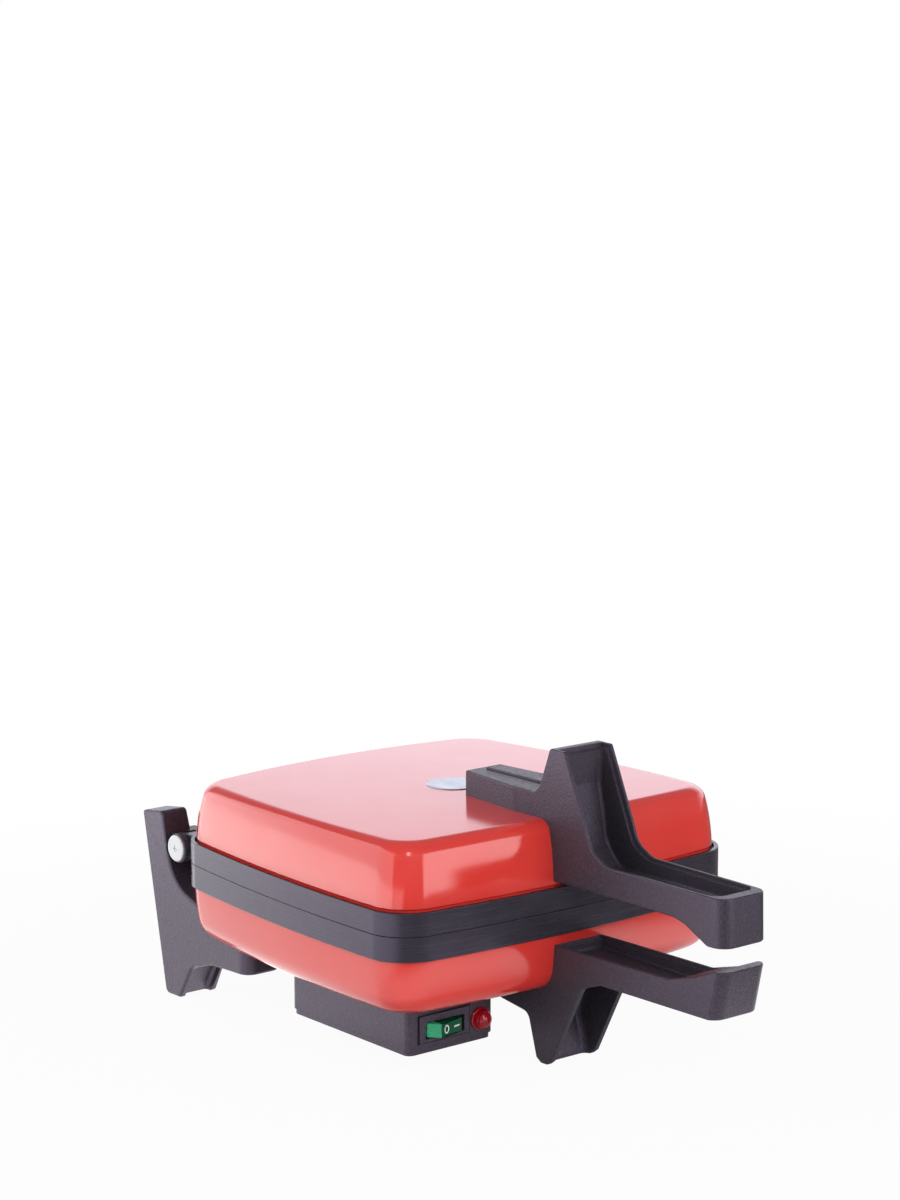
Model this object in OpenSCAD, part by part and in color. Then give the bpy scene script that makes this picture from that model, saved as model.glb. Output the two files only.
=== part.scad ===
// Taiyaki maker: a countertop cooker whose hinged lid closes over two fish-shaped moulds
// Origin: centre of the bounding box on the table, +Z up, grips towards -Y

/* [Body] */
// Width of the belt at the middle of its sides
body_w = 240; // [236:1:244]
// Depth of the belt at the middle of its front and rear
body_d = 229; // [226:1:232]
// How much narrower the body gets towards the rear, as a share of its width
body_taper = 0.052; // [0.04:0.002:0.07]
// Corner radius of the belt
corner_r = 20; // [18:1:24]
// Bow of the front and rear sides
front_bow = 7.5; // [6:0.5:9]
// Bow of the left and right sides
side_bow = 5.5; // [4:0.5:7]
// Height of the parting plane above the table
parting_z = 87.3; // [86:0.1:89]
// Distance from the body's centre back to the middle of the whole length
body_y = 41.59; // [40:0.01:43]

/* [Belt] */
// Height of the upper belt above the parting plane
belt_up = 12.7; // [12:0.1:14]
// Height of the lower belt below the parting plane
belt_down = 13.6; // [13:0.1:15]
// Half of the gap between the two belts
belt_gap = 0.35; // [0.3:0.05:0.5]
// Wall thickness of a belt
belt_wall = 11; // [10:0.5:12]

/* [Shells] */
// Ledge of the belt that shows outside the lid
lid_ledge = 2.9; // [2.6:0.1:3.6]
// Ledge of the belt that shows outside the lower shell
pan_ledge = 1.8; // [1.6:0.1:3]
// Top of the lid above the parting plane, at the front
lid_top = 48.5; // [47:0.5:50]
// How far the lid's top falls towards the rear
lid_fall = 3; // [1:0.5:4]
// How far the lid's top falls from its middle to the left and right
lid_crown = 1.6; // [0:0.2:3]
// Bottom of the lower shell below the parting plane
pan_bottom = 47.5; // [46:0.5:49]
// Edge radius of the lid's top
lid_edge_r = 10; // [8:1:12]
// Edge radius of the lower shell's bottom
pan_edge_r = 14; // [12:1:16]
// Draft of the lid's walls over their whole height
lid_draft = 2.6; // [1.5:0.1:3]
// Draft of the lower shell's walls over their whole height
pan_draft = 1.6; // [0.8:0.1:2]
// Sheet thickness of the shells
sheet = 1.2; // [1:0.1:1.5]

/* [Moulds] */
// Distance between the middles of the two fish
fish_pitch = 92; // [88:1:94]
// Depth of the fish body in each plate
fish_depth = 13; // [11:0.5:13.5]
// Width of the fish body across its belly
fish_belly = 68; // [60:1:70]

/* [Hinge] */
// Height of the hinge axis above the parting plane
hinge_up = 1.2; // [0.5:0.1:2]
// Distance of the hinge axis behind the body's centre
hinge_back = 123.2; // [122:0.1:123.4]
// Radius of the hinge pin
pin_r = 3; // [2.5:0.1:3.5]
// Running clearance round the pin
pin_gap = 0.05; // [0.02:0.01:0.08]
// Radius of the hinge knuckles
knuckle_r = 8.4; // [8.2:0.1:9]

/* [Handles] */
// Half width of the handles where they meet the body
handle_half_w = 17.5; // [17:0.5:18.5]
// Half width of the upper handle's tip
tip_half_w = 14.2; // [13:0.1:15]
// Wall thickness of the handles beside their recess
handle_wall = 3.4; // [3:0.1:4]

/* [Rear brackets] */
// Outer face of a bracket from the middle of the body
bracket_out = 101; // [100:0.5:102]
// Width of a bracket's foot
bracket_foot_w = 25; // [24:0.5:26]
// Width of a bracket's top
bracket_top_w = 17.5; // [17:0.5:20]

/* [Control box] */
// Left side of the control box from the middle of the body
box_left = 94.2; // [94:0.1:97]
// Width of the control box
box_w = 58.9; // [57:0.1:60]
// Front face of the control box before the body's centre
box_front = 83.5; // [83:0.5:86]
// Length of the control box
box_len = 104; // [97:0.5:106]
// Bottom of the control box below the parting plane
box_bottom = 72.8; // [72:0.1:75]
// Tilt of the rocker to each side of its middle
rocker_tilt = 12; // [9:1:12]

/* [Hidden] */

// Curve fineness of round shapes
$fn = 64;
// Steps along each corner and each side of the plan outline
corner_steps = 8;
side_steps = 6;
// Fit gap between pieces that are seated on each other
seat = 0.05;
// Overlap that lets a cutter run past a face
past = 1;
enamel = "#d8403a";
bakelite = "#3a373c";
iron = "#4a4a4c";
steel = "#b9bbbd";

// Rounded outlines

// Arc of radius r that rounds the corner b between a and c
function corner_arc(a, b, c, r, n) =
    let (
        u = (a - b) / norm(a - b),
        v = (c - b) / norm(c - b),
        half = acos(max(-1, min(1, u * v))) / 2,
        centre = b + (u + v) / norm(u + v) * r / sin(half),
        start = b + u * r / tan(half) - centre,
        turn = (u.x * v.y - u.y * v.x > 0 ? -1 : 1) * (180 - 2 * half)
    )
    [for (i = [0:n]) let (t = turn * i / n)
        centre + [start.x * cos(t) - start.y * sin(t), start.x * sin(t) + start.y * cos(t)]];

// Outline through points [x, y, r], each rounded to its own radius r
function rounded(pts, n = 5) =
    let (k = len(pts))
    [for (i = [0:k - 1])
        let (a = pts[(i + k - 1) % k], b = pts[i], c = pts[(i + 1) % k])
        for (p = b[2] == 0 ? [[b.x, b.y]]
            : corner_arc([a.x, a.y], [b.x, b.y], [c.x, c.y], b[2], n)) p];

// Half outline in front of a mirror line, doubled across x = 0
function mirrored(pts) =
    concat(pts, [for (i = [len(pts) - 1:-1:0]) [-pts[i].x, pts[i].y, pts[i][2]]]);

// Corner of the plain rounded rectangle under the plan outline, quadrant q
function plan_corner(a, b, r, q) =
    let (sx = (q == 0 || q == 3) ? 1 : -1, sy = q < 2 ? 1 : -1)
    [for (i = [0:corner_steps]) let (t = 90 * (q + i / corner_steps))
        [sx * (a - r) + r * cos(t), sy * (b - r) + r * sin(t)]];

// Plan outline of the body, drawn in by inset: bowed sides and a taper to the rear
function plan(inset) =
    let (
        a = body_w / 2 - side_bow - inset,
        b = body_d / 2 - front_bow - inset,
        r = max(3, corner_r - inset * 0.5),
        corners = [for (q = [0:3]) plan_corner(a, b, r, q)],
        ring = [for (q = [0:3])
            let (last = corners[q][corner_steps], next = corners[(q + 1) % 4][0])
            for (p = concat(corners[q],
                [for (i = [1:side_steps - 1]) last + (next - last) * i / side_steps])) p]
    )
    [for (p = ring)
        let (
            x = p.x * (1 + side_bow / a * (1 - pow(p.y / b, 2))),
            y = p.y * (1 + front_bow / b * (1 - pow(p.x / a, 2)))
        )
        [x * (1 - body_taper * y / (body_d / 2)), y]];

// Drop of the lid's crowned top at a point, towards the rear and the sides
function crown_drop(p) = lid_fall * pow(p.y / body_d + 0.5, 1.6) + lid_crown * pow(2 * p.x / body_w, 2);

// Plan outline at height z, lowered by the crown where it belongs to the lid's top
function level(inset, z, crowned = false) =
    [for (p = plan(inset)) [p.x, p.y, z - (crowned ? crown_drop(p) : 0)]];

// Faces between ring number i and the next, for rings of n points
function band(i, n, flip = false) =
    [for (k = [0:n - 1]) let (
        p = i * n + k,
        q = i * n + (k + 1) % n,
        quad = flip ? [[p, q, q + n], [p, q + n, p + n]] : [[p, q + n, q], [p, p + n, q + n]]
    ) for (f = quad) f];

function ring_cap(i, n, flip = false) =
    [flip ? [for (k = [n - 1:-1:0]) i * n + k] : [for (k = [0:n - 1]) i * n + k]];

// Faces from the last ring to one point in its middle
function ring_fan(i, n, middle, flip = false) =
    [for (k = [0:n - 1])
        let (p = i * n + k, q = i * n + (k + 1) % n)
        flip ? [p, q, middle] : [q, p, middle]];

// Point in the middle of a ring
function middle_of(ring) = let (n = len(ring)) [for (p = ring) 1] * ring / n;

// Closed solid through a list of rings, bottom ring first
module loft(rings) {
    n = len(rings[0]);
    last = len(rings) - 1;
    polyhedron(
        points = concat([for (r = rings) for (p = r) p], [middle_of(rings[last])]),
        faces = concat(
            ring_cap(0, n),
            [for (i = [0:last - 1]) for (f = band(i, n)) f],
            ring_fan(last, n, (last + 1) * n, true)
        )
    );
}

// Drawn pan: outer rings up to the closed top, then inner rings from the rim to the inner top
module drawn_pan(outer, inner) {
    n = len(outer[0]);
    last_out = len(outer) - 1;
    first_in = len(outer);
    last_in = len(outer) + len(inner) - 1;
    polyhedron(
        points = concat([for (r = concat(outer, inner)) for (p = r) p],
            [middle_of(outer[last_out]), middle_of(inner[len(inner) - 1])]),
        faces = concat(
            [for (i = [0:last_out - 1]) for (f = band(i, n)) f],
            ring_fan(last_out, n, (last_in + 1) * n, true),
            [for (i = [first_in:last_in - 1]) for (f = band(i, n, true)) f],
            ring_fan(last_in, n, (last_in + 1) * n + 1),
            [for (k = [0:n - 1]) for (f = [
                [k, (k + 1) % n, first_in * n + (k + 1) % n],
                [k, first_in * n + (k + 1) % n, first_in * n + k]
            ]) f]
        )
    );
}

// Rings of a shell: a straight rim in the belt's groove, a drafted wall, a rounded edge and the top
function shell_rings(belt_h, top_z, edge_r, draft, in0, crowned) =
    let (wall_top = top_z - edge_r)
    concat(
        [level(in0, belt_h - groove_depth + 0.2), level(in0, belt_h + 0.2)],
        [for (i = [0:5]) let (t = 18 * i)
            level(in0 + draft + edge_r * (1 - cos(t)), wall_top + edge_r * sin(t), crowned)],
        crowned ? [for (inset = [45, 75]) level(inset, top_z, true)] : []
    );

function lid_rings(extra) =
    shell_rings(belt_up, lid_top - extra, lid_edge_r - extra, lid_draft, lid_ledge + extra, true);

function pan_rings(extra) =
    shell_rings(belt_down, pan_bottom - extra, pan_edge_r - extra, pan_draft, pan_ledge + extra, false);

// Moves the body's own frame, centred on the parting plane, to the part's frame
module at_body() {
    translate([0, body_y, parting_z])
        children();
}

// Draws the children on both sides of the middle
module both_sides() {
    children();
    mirror([1, 0, 0])
        children();
}

// Side profile in Y and Z, extruded across X between two planes
module side_slab(outline, x0, x1) {
    translate([x0, 0, 0])
        rotate([90, 0, 90])
            linear_extrude(x1 - x0)
                polygon(outline);
}

// Outline seen from above, extruded in Z between two planes
module top_slab(outline, z0, z1) {
    translate([0, 0, z0])
        linear_extrude(z1 - z0)
            polygon(outline);
}

module x_cylinder(r, x0, x1) {
    translate([x0, 0, 0])
        rotate([0, 90, 0])
            cylinder(r = r, h = x1 - x0);
}

module y_cylinder(r, y0, y1) {
    translate([0, y0, 0])
        rotate([-90, 0, 0])
            cylinder(r = r, h = y1 - y0);
}

// Round bar through a list of points, with balls at its bends
module bar(points, r) {
    for (i = [0:len(points) - 2]) {
        d = points[i + 1] - points[i];
        translate(points[i])
            rotate([0, acos(d.z / norm(d)), atan2(d.y, d.x)])
                cylinder(r = r, h = norm(d), $fn = 24);
    }
    for (i = [1:len(points) - 2])
        translate(points[i])
            sphere(r = r * 1.06, $fn = 24);
}

// Pan-head screw with its head's underside at z = 0 and its shank below
module pan_screw(head_r, head_h, shank_r, shank_h) {
    difference() {
        union() {
            cylinder(r = head_r, h = head_h);
            translate([0, 0, -shank_h])
                cylinder(r = shank_r, h = shank_h + 0.1);
        }
        for (turn = [0, 90])
            rotate([0, 0, turn])
                translate([-head_r * 0.6, -0.4, head_h * 0.5])
                    cube([head_r * 1.2, 0.8, head_h]);
    }
}

// Belts

groove_depth = 3;
groove_w = sheet + 0.3;
// Ledge inside a belt that carries the cooking plate
plate_ledge = 5;
plate_ledge_h = 2.6;
plate_fit = 0.4;

// Belt ring from z = 0 up to h: groove for the shell's rim on top, ledge for the plate inside
module belt_ring(h, bottom, ledge) {
    difference() {
        top_slab(plan(0), bottom, h);
        top_slab(plan(belt_wall), bottom - past, h - plate_ledge_h);
        top_slab(plan(belt_wall + plate_ledge), bottom, h + past);
        difference() {
            top_slab(plan(ledge - 0.15), h - groove_depth, h + past);
            top_slab(plan(ledge - 0.15 + groove_w), h - groove_depth - past, h + 2 * past);
        }
    }
}

// Lid's hinge lug, reaching back from the belt to the hinge axis
lug_out = 96.5;
lug_in = 87;
lug_bottom = 2;
lug_top = min(hinge_up + knuckle_r, belt_up - groove_depth - seat);

module lid_lug() {
    difference() {
        union() {
            translate([0, hinge_back, hinge_up])
                x_cylinder(knuckle_r, lug_in, lug_out);
            translate([lug_in, body_d / 2 - 12, lug_bottom])
                cube([lug_out - lug_in, hinge_back - body_d / 2 + 12, lug_top - lug_bottom]);
        }
        translate([0, hinge_back, hinge_up])
            x_cylinder(pin_r + pin_gap, lug_in - past, lug_out + past);
        top_slab(plan(belt_wall - 2), -past, belt_up);
    }
}

module upper_belt() {
    color(bakelite)
        at_body()
            union() {
                belt_ring(belt_up, belt_gap, lid_ledge);
                both_sides()
                    lid_lug();
            }
}

module lower_belt() {
    color(bakelite)
        at_body()
            mirror([0, 0, 1])
                belt_ring(belt_down, belt_gap, pan_ledge);
}

// Drawn steel shells

module upper_shell() {
    color(enamel)
        at_body()
            difference() {
                drawn_pan(lid_rings(0), lid_rings(sheet));
                for (y = upper_screw_ys)
                    translate([0, y, lid_top - 8])
                        cylinder(r = 2.2, h = 12);
            }
}

module lower_shell() {
    color(enamel)
        at_body()
            difference() {
                mirror([0, 0, 1])
                    drawn_pan(pan_rings(0), pan_rings(sheet));
                for (x = lower_screw_xs)
                    shell_hole(x, lower_screw_y, 2.2);
                for (sx = [-1, 1])
                    shell_hole(sx * (bracket_out - 11), arm_screw_y, 2.2);
                for (sy = [-1, 1])
                    shell_hole(lead_x, heater_mid + sy * lead_y, 3);
            }
}

module shell_hole(x, y, r) {
    translate([x, y, -pan_bottom - 4])
        cylinder(r = r, h = 12);
}

// Solid that fills a shell and its belt, for cutting the seats of what is fixed outside
module lid_space() {
    loft(concat([level(lid_ledge - seat, belt_up - 8)], lid_rings(-seat)));
}

module pan_space() {
    mirror([0, 0, 1])
        loft(concat([level(pan_ledge - seat, belt_down - 8)], pan_rings(-seat)));
}

// Cooking plates with the fish moulds

plate_face = 0.4;
plate_block = 15.8;
cap_r = 112;
fish_body_x = -8;
mould_draft = 0.14;

// Prism with drafted walls: a disc that widens towards the plate's face
module drafted_disc(r) {
    translate([0, 0, -20])
        cylinder(r1 = r - 20 * mould_draft, r2 = r + past * mould_draft, h = 20 + past, $fn = 128);
}

// Body of the fish: two large discs meet in a lens, with a round head
module fish_body_prism() {
    lens_half = 56;
    lens_r = (pow(lens_half, 2) + pow(fish_belly / 2, 2)) / fish_belly;
    intersection() {
        translate([fish_body_x, lens_r - fish_belly / 2, 0])
            drafted_disc(lens_r);
        translate([fish_body_x, fish_belly / 2 - lens_r, 0])
            drafted_disc(lens_r);
    }
    translate([-38, 0, 0])
        drafted_disc(24);
}

// Fan of the tail and the fins, as outlines in the plate's plane
tail_outline = [
    [34, 8, 0], [52, 14, 8], [70, 29, 3], [75, 24, 3], [69, 0, 14],
    [75, -24, 3], [70, -29, 3], [52, -14, 8], [34, -8, 0]
];
back_fin = [[-26, 24, 0], [-20, 40, 4], [-4, 43, 4], [20, 34, 4], [26, 20, 0]];
belly_fin = [[-16, -26, 0], [-10, -40, 3], [0, -42, 3], [2, -28, 0]];
vent_fin = [[14, -24, 0], [18, -35, 3], [27, -34, 3], [26, -18, 0]];
tail_depth = 8;
fin_depth = 4.5;

// Rays left standing in a tail or fin pocket
module rays(angles, centre, inner, outer, floor_z, height) {
    for (a = angles)
        translate([centre.x, centre.y, floor_z - past])
            rotate([0, 0, a])
                translate([inner, -0.7, 0])
                    cube([outer - inner, 1.4, height + past]);
}

// Pocket of one fish, its face at z = 0 and its floor below
module fish_pocket() {
    difference() {
        union() {
            intersection() {
                fish_body_prism();
                translate([fish_body_x, 0, cap_r - fish_depth])
                    sphere(r = cap_r, $fn = 160);
            }
            top_slab(rounded(tail_outline), -tail_depth, past);
            top_slab(rounded(back_fin), -fin_depth, past);
            top_slab(rounded(belly_fin), -fin_depth, past);
            top_slab(rounded(vent_fin), -fin_depth, past);
        }
        rays([-20, -10, 0, 10, 20], [10, 0], 42, 70, -tail_depth, 2);
        rays([60, 75, 90, 105, 120], [0, -20], 56, 64, -fin_depth, 1.6);
        rays([-100, -88, -76], [-5, 0], 33, 43, -fin_depth, 1.6);
        rays([-66, -52], [6, 0], 30, 42, -fin_depth, 1.6);
        gill_ridge();
        eye_ring();
        mouth_ridge();
    }
}

// Ring walls whose level tops fade into the rising floor
module gill_ridge() {
    translate([-50, 0, -fish_depth - past])
        rotate([0, 0, -52])
            rotate_extrude(angle = 104)
                translate([24, 0])
                    square([1.8, past + 4]);
}

module eye_ring() {
    translate([-44, 7, -fish_depth - past])
        difference() {
            cylinder(r = 4.6, h = past + 7.5);
            translate([0, 0, past + 5.6])
                cylinder(r = 3, h = 4);
        }
}

module mouth_ridge() {
    translate([-62, -12, -fish_depth - past])
        rotate([0, 0, 20])
            rotate_extrude(angle = 70)
                translate([11, 0])
                    square([1.6, past + 9]);
}

// Plate with its face at z = -plate_face and its back block down to -plate_block
module cooking_plate(h) {
    difference() {
        union() {
            top_slab(plan(belt_wall + plate_fit), -(h - plate_ledge_h), -plate_face);
            top_slab(plan(belt_wall + plate_ledge + plate_fit), -plate_block, -plate_face);
        }
        for (side = [-1, 1])
            translate([0, side * fish_pitch / 2, -plate_face])
                fish_pocket();
        for (at = plate_screw_spots)
            translate([at.x, at.y, 0])
                screw_seat();
    }
}

plate_screw_spots = [[-93, 0], [93, 0]];
plate_screw_head_r = 4;

module screw_seat() {
    translate([0, 0, -plate_face - 2.2])
        cylinder(r = plate_screw_head_r + 0.3, h = 4);
    translate([0, 0, -plate_block - past])
        cylinder(r = 2.2, h = plate_block + past);
}

module plate_screws() {
    for (at = plate_screw_spots)
        translate([at.x, at.y, -plate_face - 2.2])
            pan_screw(plate_screw_head_r, 1.9, 2.1, 19.2);
}

module upper_plate() {
    color(iron)
        at_body()
            mirror([0, 0, 1])
                cooking_plate(belt_up);
}

module lower_plate() {
    color(iron)
        at_body()
            cooking_plate(belt_down);
}

module upper_plate_screws() {
    color(steel)
        at_body()
            mirror([0, 0, 1])
                plate_screws();
}

module lower_plate_screws() {
    color(steel)
        at_body()
            plate_screws();
}

// Heating elements: a round tube bent in a loop behind each plate

heater_r = 3.25;
heater_x = 72;
heater_y = 62;
heater_bend = 20;
// Middle of the gap between the heater's two ends, and half of that gap
heater_mid = -18;
heater_tail = 14;

// Loop that lies at z = 0, open at its left end between two straight tails
module heater_loop() {
    for (sx = [-1, 1], sy = [-1, 1])
        translate([sx * (heater_x - heater_bend), sy * (heater_y - heater_bend), 0])
            rotate([0, 0, sx > 0 ? (sy > 0 ? 0 : 270) : (sy > 0 ? 90 : 180)])
                rotate_extrude(angle = 90)
                    translate([heater_bend, 0])
                        circle(r = heater_r, $fn = 32);
    for (sy = [-1, 1])
        translate([0, sy * heater_y, 0])
            x_cylinder(heater_r, heater_bend - heater_x, heater_x - heater_bend);
    translate([heater_x, 0, 0])
        y_cylinder(heater_r, heater_bend - heater_y, heater_y - heater_bend);
    for (sy = [-1, 1])
        translate([-heater_x, 0, 0])
            y_cylinder(heater_r, sy > 0 ? heater_mid + heater_tail : heater_bend - heater_y,
                sy > 0 ? heater_y - heater_bend : heater_mid - heater_tail);
}

module heater(z) {
    translate([0, 0, z]) {
        heater_loop();
        for (sy = [-1, 1])
            translate([-heater_x, heater_mid + sy * (heater_tail - 3), 0])
                y_cylinder(1.6, -4, 4);
    }
}

heater_z = plate_block + heater_r + 0.02;

module upper_heater() {
    color(steel)
        at_body()
            heater(heater_z);
}

module lower_heater() {
    color(steel)
        at_body()
            heater(-heater_z);
}

// Reflectors: thin pans between the heaters and the shells

reflector_z = 26;
reflector_h = 5;
reflector_inset = 24;
reflector_t = 0.8;

module reflector() {
    difference() {
        top_slab(plan(reflector_inset), -reflector_z, -reflector_z + reflector_h);
        top_slab(plan(reflector_inset + reflector_t), -reflector_z + reflector_t, 0);
        for (at = plate_screw_spots)
            translate([at.x, at.y, -reflector_z - past])
                cylinder(r = 2.2, h = 4);
        for (sy = [-1, 1])
            translate([lead_x, heater_mid + sy * lead_y, -reflector_z - past])
                cylinder(r = 3, h = 4);
        translate([sensor_x, 0, -reflector_z - past])
            cylinder(r = 9.5, h = 4);
    }
}

lead_x = -58;
lead_y = 8;
sensor_x = -20;

module upper_reflector() {
    color(steel)
        at_body()
            mirror([0, 0, 1])
                reflector();
}

module lower_reflector() {
    color(steel)
        at_body()
            reflector();
}

// Leads from the heater's terminals through the reflector

lead_r = 1.4;

module upper_leads() {
    color("#b04030")
        at_body()
            for (sy = [-1, 1])
                let (y = heater_mid + sy * lead_y)
                bar([
                    [2 + lead_r - heater_x, y, heater_z],
                    [lead_x, y, heater_z + 2],
                    [lead_x, y, reflector_z + 9],
                    [lead_x - 22 - 3 * sy, y, reflector_z + 9],
                    [lead_x - 22 - 3 * sy, y + 80, reflector_z + 5]
                ], lead_r);
}

module lower_leads() {
    color("#b04030")
        at_body()
            for (sy = [-1, 1])
                let (y = heater_mid + sy * lead_y, block_y = terminal_y + (sy > 0 ? 17 : 5.6))
                bar([
                    [2 + lead_r - heater_x, y, -heater_z],
                    [lead_x, y, -heater_z - 2],
                    [lead_x, y, -pan_bottom - 5],
                    [terminal_x + 11, block_y, -pan_bottom - 7],
                    [terminal_x + 11, block_y, -box_bottom + cover_t + 7.5]
                ], lead_r);
}

// Thermostat and thermal fuse on the back of the lower plate, terminal block in the control box

module thermostat() {
    color(steel)
        at_body()
            translate([sensor_x, 0, -plate_block - seat]) {
                translate([0, 0, -10])
                    cylinder(r = 8, h = 10);
                for (sx = [-1, 1])
                    translate([sx * 5 - 0.4, -3, -16])
                        cube([0.8, 6, 7]);
                translate([-13, -4, -1.2])
                    cube([26, 8, 1.2]);
            }
}

module thermal_fuse() {
    color("#d8d2c0")
        at_body()
            translate([24, 0, -plate_block - seat - 2.5]) {
                x_cylinder(2.5, -11, 11);
                x_cylinder(0.6, -17, 17);
            }
}

terminal_x = -81;
terminal_y = -62;

module terminal_block() {
    color("#e8e4d8")
        at_body()
            translate([terminal_x, terminal_y, -box_bottom + cover_t])
                difference() {
                    union() {
                        cube([22, 34, 8]);
                        for (i = [0:2])
                            translate([11, 5.6 + 11.4 * i, 8])
                                cylinder(r = 4, h = 4);
                    }
                    for (i = [0:2])
                        translate([11, 5.6 + 11.4 * i, 6])
                            cylinder(r = 2, h = 8);
                }
}

// Upper handle: pad on the lid, prong and open grip in one moulding

handle_side = rounded([
    [-28, 40, 0], [-28, 58, 0], [-32, 61.8, 3], [-95, 61.8, 5], [-99.5, 66, 3], [-107.6, 87.3, 1.5],
    [-119.2, 87.3, 1.5], [-136.2, 49.2, 0], [-140.8, 37.5, 12], [-152, 31.6, 14], [-233.4, 30.6, 1.5],
    [-239.6, 5.6, 1.5], [-227, 5.4, 6], [-211, 13.4, 6], [-202, 15.6, 8], [-90, 15.6, 0], [-90, 40, 0]
]);

// Open recess in the front of the prong and the top of the grip
handle_recess = rounded([
    [-113.4, 83.6, 1], [-112.6, 66, 6], [-116.6, 48, 8], [-119, 34, 8], [-130, 21.2, 9], [-226, 20.6, 2],
    [-228.6, 40, 0], [-160, 60, 0], [-130, 95, 0], [-117, 95, 0]
]);

// Shallow step round the rim of that recess
handle_step = rounded([
    [-112.6, 84.8, 0], [-117.2, 84.8, 0], [-133.8, 47, 0], [-139.2, 35.2, 10], [-151, 29.6, 14],
    [-230.2, 28.8, 0], [-231, 40, 0], [-160, 60, 0], [-130, 95, 0], [-112.6, 95, 0]
]);

// Plan of the upper handle: rounded pad end, full width at the prong, narrower tip
function handle_plan(wall) = rounded(mirrored([
    [12.5 - wall, -29.5, 5], [handle_half_w - wall, -78, 20], [handle_half_w - wall, -136, 30],
    [tip_half_w - wall, -241 + wall, max(1.5, 7 - wall)]
]));

tip_corner = 8;

// Slanted prism that rounds the front end of a grip: its end is at -reach at height at_z, and leans by lean
module grip_end(half_w, end_w, reach, at_z, lean) {
    outline = rounded(mirrored([[half_w + 1, -20, 0], [half_w + 1, -136, 0], [end_w, -reach, tip_corner]]));
    loft([for (z = [-96, 96]) [for (p = outline) [p.x, p.y + lean * (z - at_z), z]]]);
}

// Raised line along the middle of the pad
module pad_ridge() {
    side_slab([[-36, 60], [-36, 62.8], [-93, 62.8], [-93, 60]], -0.9, 0.9);
}

module upper_handle() {
    color(bakelite)
        at_body()
            difference() {
                union() {
                    intersection() {
                        side_slab(handle_side, -20, 20);
                        top_slab(handle_plan(0), 0, 95);
                        grip_end(handle_half_w, tip_half_w + 0.3, 233.4, 30.6, 6.2 / 25);
                    }
                    pad_ridge();
                }
                intersection() {
                    side_slab(handle_recess, -20, 20);
                    top_slab(handle_plan(handle_wall), 0, 96);
                }
                intersection() {
                    side_slab(handle_step, -20, 20);
                    top_slab(handle_plan(handle_wall - 1.3), 0, 97);
                }
                lid_space();
                for (y = upper_screw_ys)
                    translate([0, y, lid_top - 6])
                        cylinder(r = 2.1, h = 15);
            }
}

upper_screw_ys = [-52, -84];

// Height of the lid's inner top at depth y
function lid_inside(y) = lid_top - sheet - crown_drop([0, y]);

module upper_handle_screws() {
    color(steel)
        at_body()
            for (y = upper_screw_ys)
                translate([0, y, lid_inside(y) - 0.35])
                    rotate([180, 0, 0])
                        pan_screw(4, 2.4, 2, 10.5);
}

// Lower handle: pad under the shell, front leg and open grip in one moulding

lower_side = rounded([
    [-88, -19.4, 0], [-199, -17.9, 6], [-219, -12.4, 10], [-232, -6.8, 5], [-239.6, -6.4, 1.2],
    [-234, -32, 2], [-148, -33.2, 6], [-134, -38.5, 6], [-110.2, -84.5, 0], [-106.6, -87.3, 0],
    [-101.5, -87.3, 0], [-97.8, -85, 1.5], [-90.8, -61.6, 6], [-66, -58.4, 3], [-64, -40, 0], [-88, -40, 0]
]);

// Tray in the top of the lower grip
lower_tray = rounded([
    [-114.6, -10, 0], [-114.6, -25.6, 2], [-188, -26.2, 8], [-207, -16.6, 0], [-206, -10, 0]
]);

// Step round the rim of that tray
lower_step = rounded([[-113, -10, 0], [-113, -20.8, 0], [-197, -19.7, 3], [-207, -16.8, 0], [-206, -10, 0]]);

// Hollow in the front of the leg, between two side ribs
leg_hollow = rounded([
    [-150, -36.8, 0], [-118, -36.8, 6], [-101.4, -50, 6], [-97.6, -63, 4], [-103.4, -84.8, 0],
    [-103.4, -95, 0], [-150, -95, 0]
]);

function lower_plan(wall) = rounded(mirrored([
    [handle_half_w - wall, -60, 0], [handle_half_w - wall, -130, 30],
    [13 - wall, -241 + wall, max(1.5, 7 - wall)]
]));

module lower_handle() {
    color(bakelite)
        at_body()
            difference() {
                intersection() {
                    side_slab(lower_side, -20, 20);
                    top_slab(lower_plan(0), -95, 0);
                    grip_end(handle_half_w, 13.3, 239.6, -6.4, -5.6 / 25.6);
                }
                intersection() {
                    side_slab(lower_tray, -20, 20);
                    top_slab(lower_plan(handle_wall), -95, 1);
                }
                intersection() {
                    side_slab(lower_step, -20, 20);
                    top_slab(lower_plan(handle_wall - 1.3), -95, 2);
                }
                side_slab(leg_hollow, -handle_half_w + 3.6, handle_half_w - 3.6);
                pan_space();
                for (x = lower_screw_xs)
                    translate([x, lower_screw_y, -pan_bottom - 12])
                        cylinder(r = 2.1, h = 15);
            }
}

lower_screw_xs = [-10, 10];
lower_screw_y = -76;

module lower_handle_screws() {
    color(steel)
        at_body()
            for (x = lower_screw_xs)
                translate([x, lower_screw_y, -pan_bottom + sheet + 0.1])
                    pan_screw(4, 2.4, 2, 10);
}

// Rear brackets: foot, arm under the shell, and upright with the fixed hinge knuckle

bracket_side = rounded([
    [136.2, 20.9, 2.5], [156.4, 18, 1.5], [135.2, -85.6, 0], [133, -87.3, 0], [120.6, -87.3, 0],
    [107.4, -65.6, 8], [88, -60.6, 10], [53, -59.4, 0], [53, -40, 0], [80, -40, 0], [100, -28.4, 0],
    [127.4, -19.5, 28]
]);

// Hollow in the front of the foot, between two side ribs
foot_hollow = rounded([
    [98, -95, 0], [98, -69, 0], [104, -66.5, 3], [114.4, -68.4, 5], [127, -88.5, 0], [127, -95, 0]
]);
foot_rib = 3.6;

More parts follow.
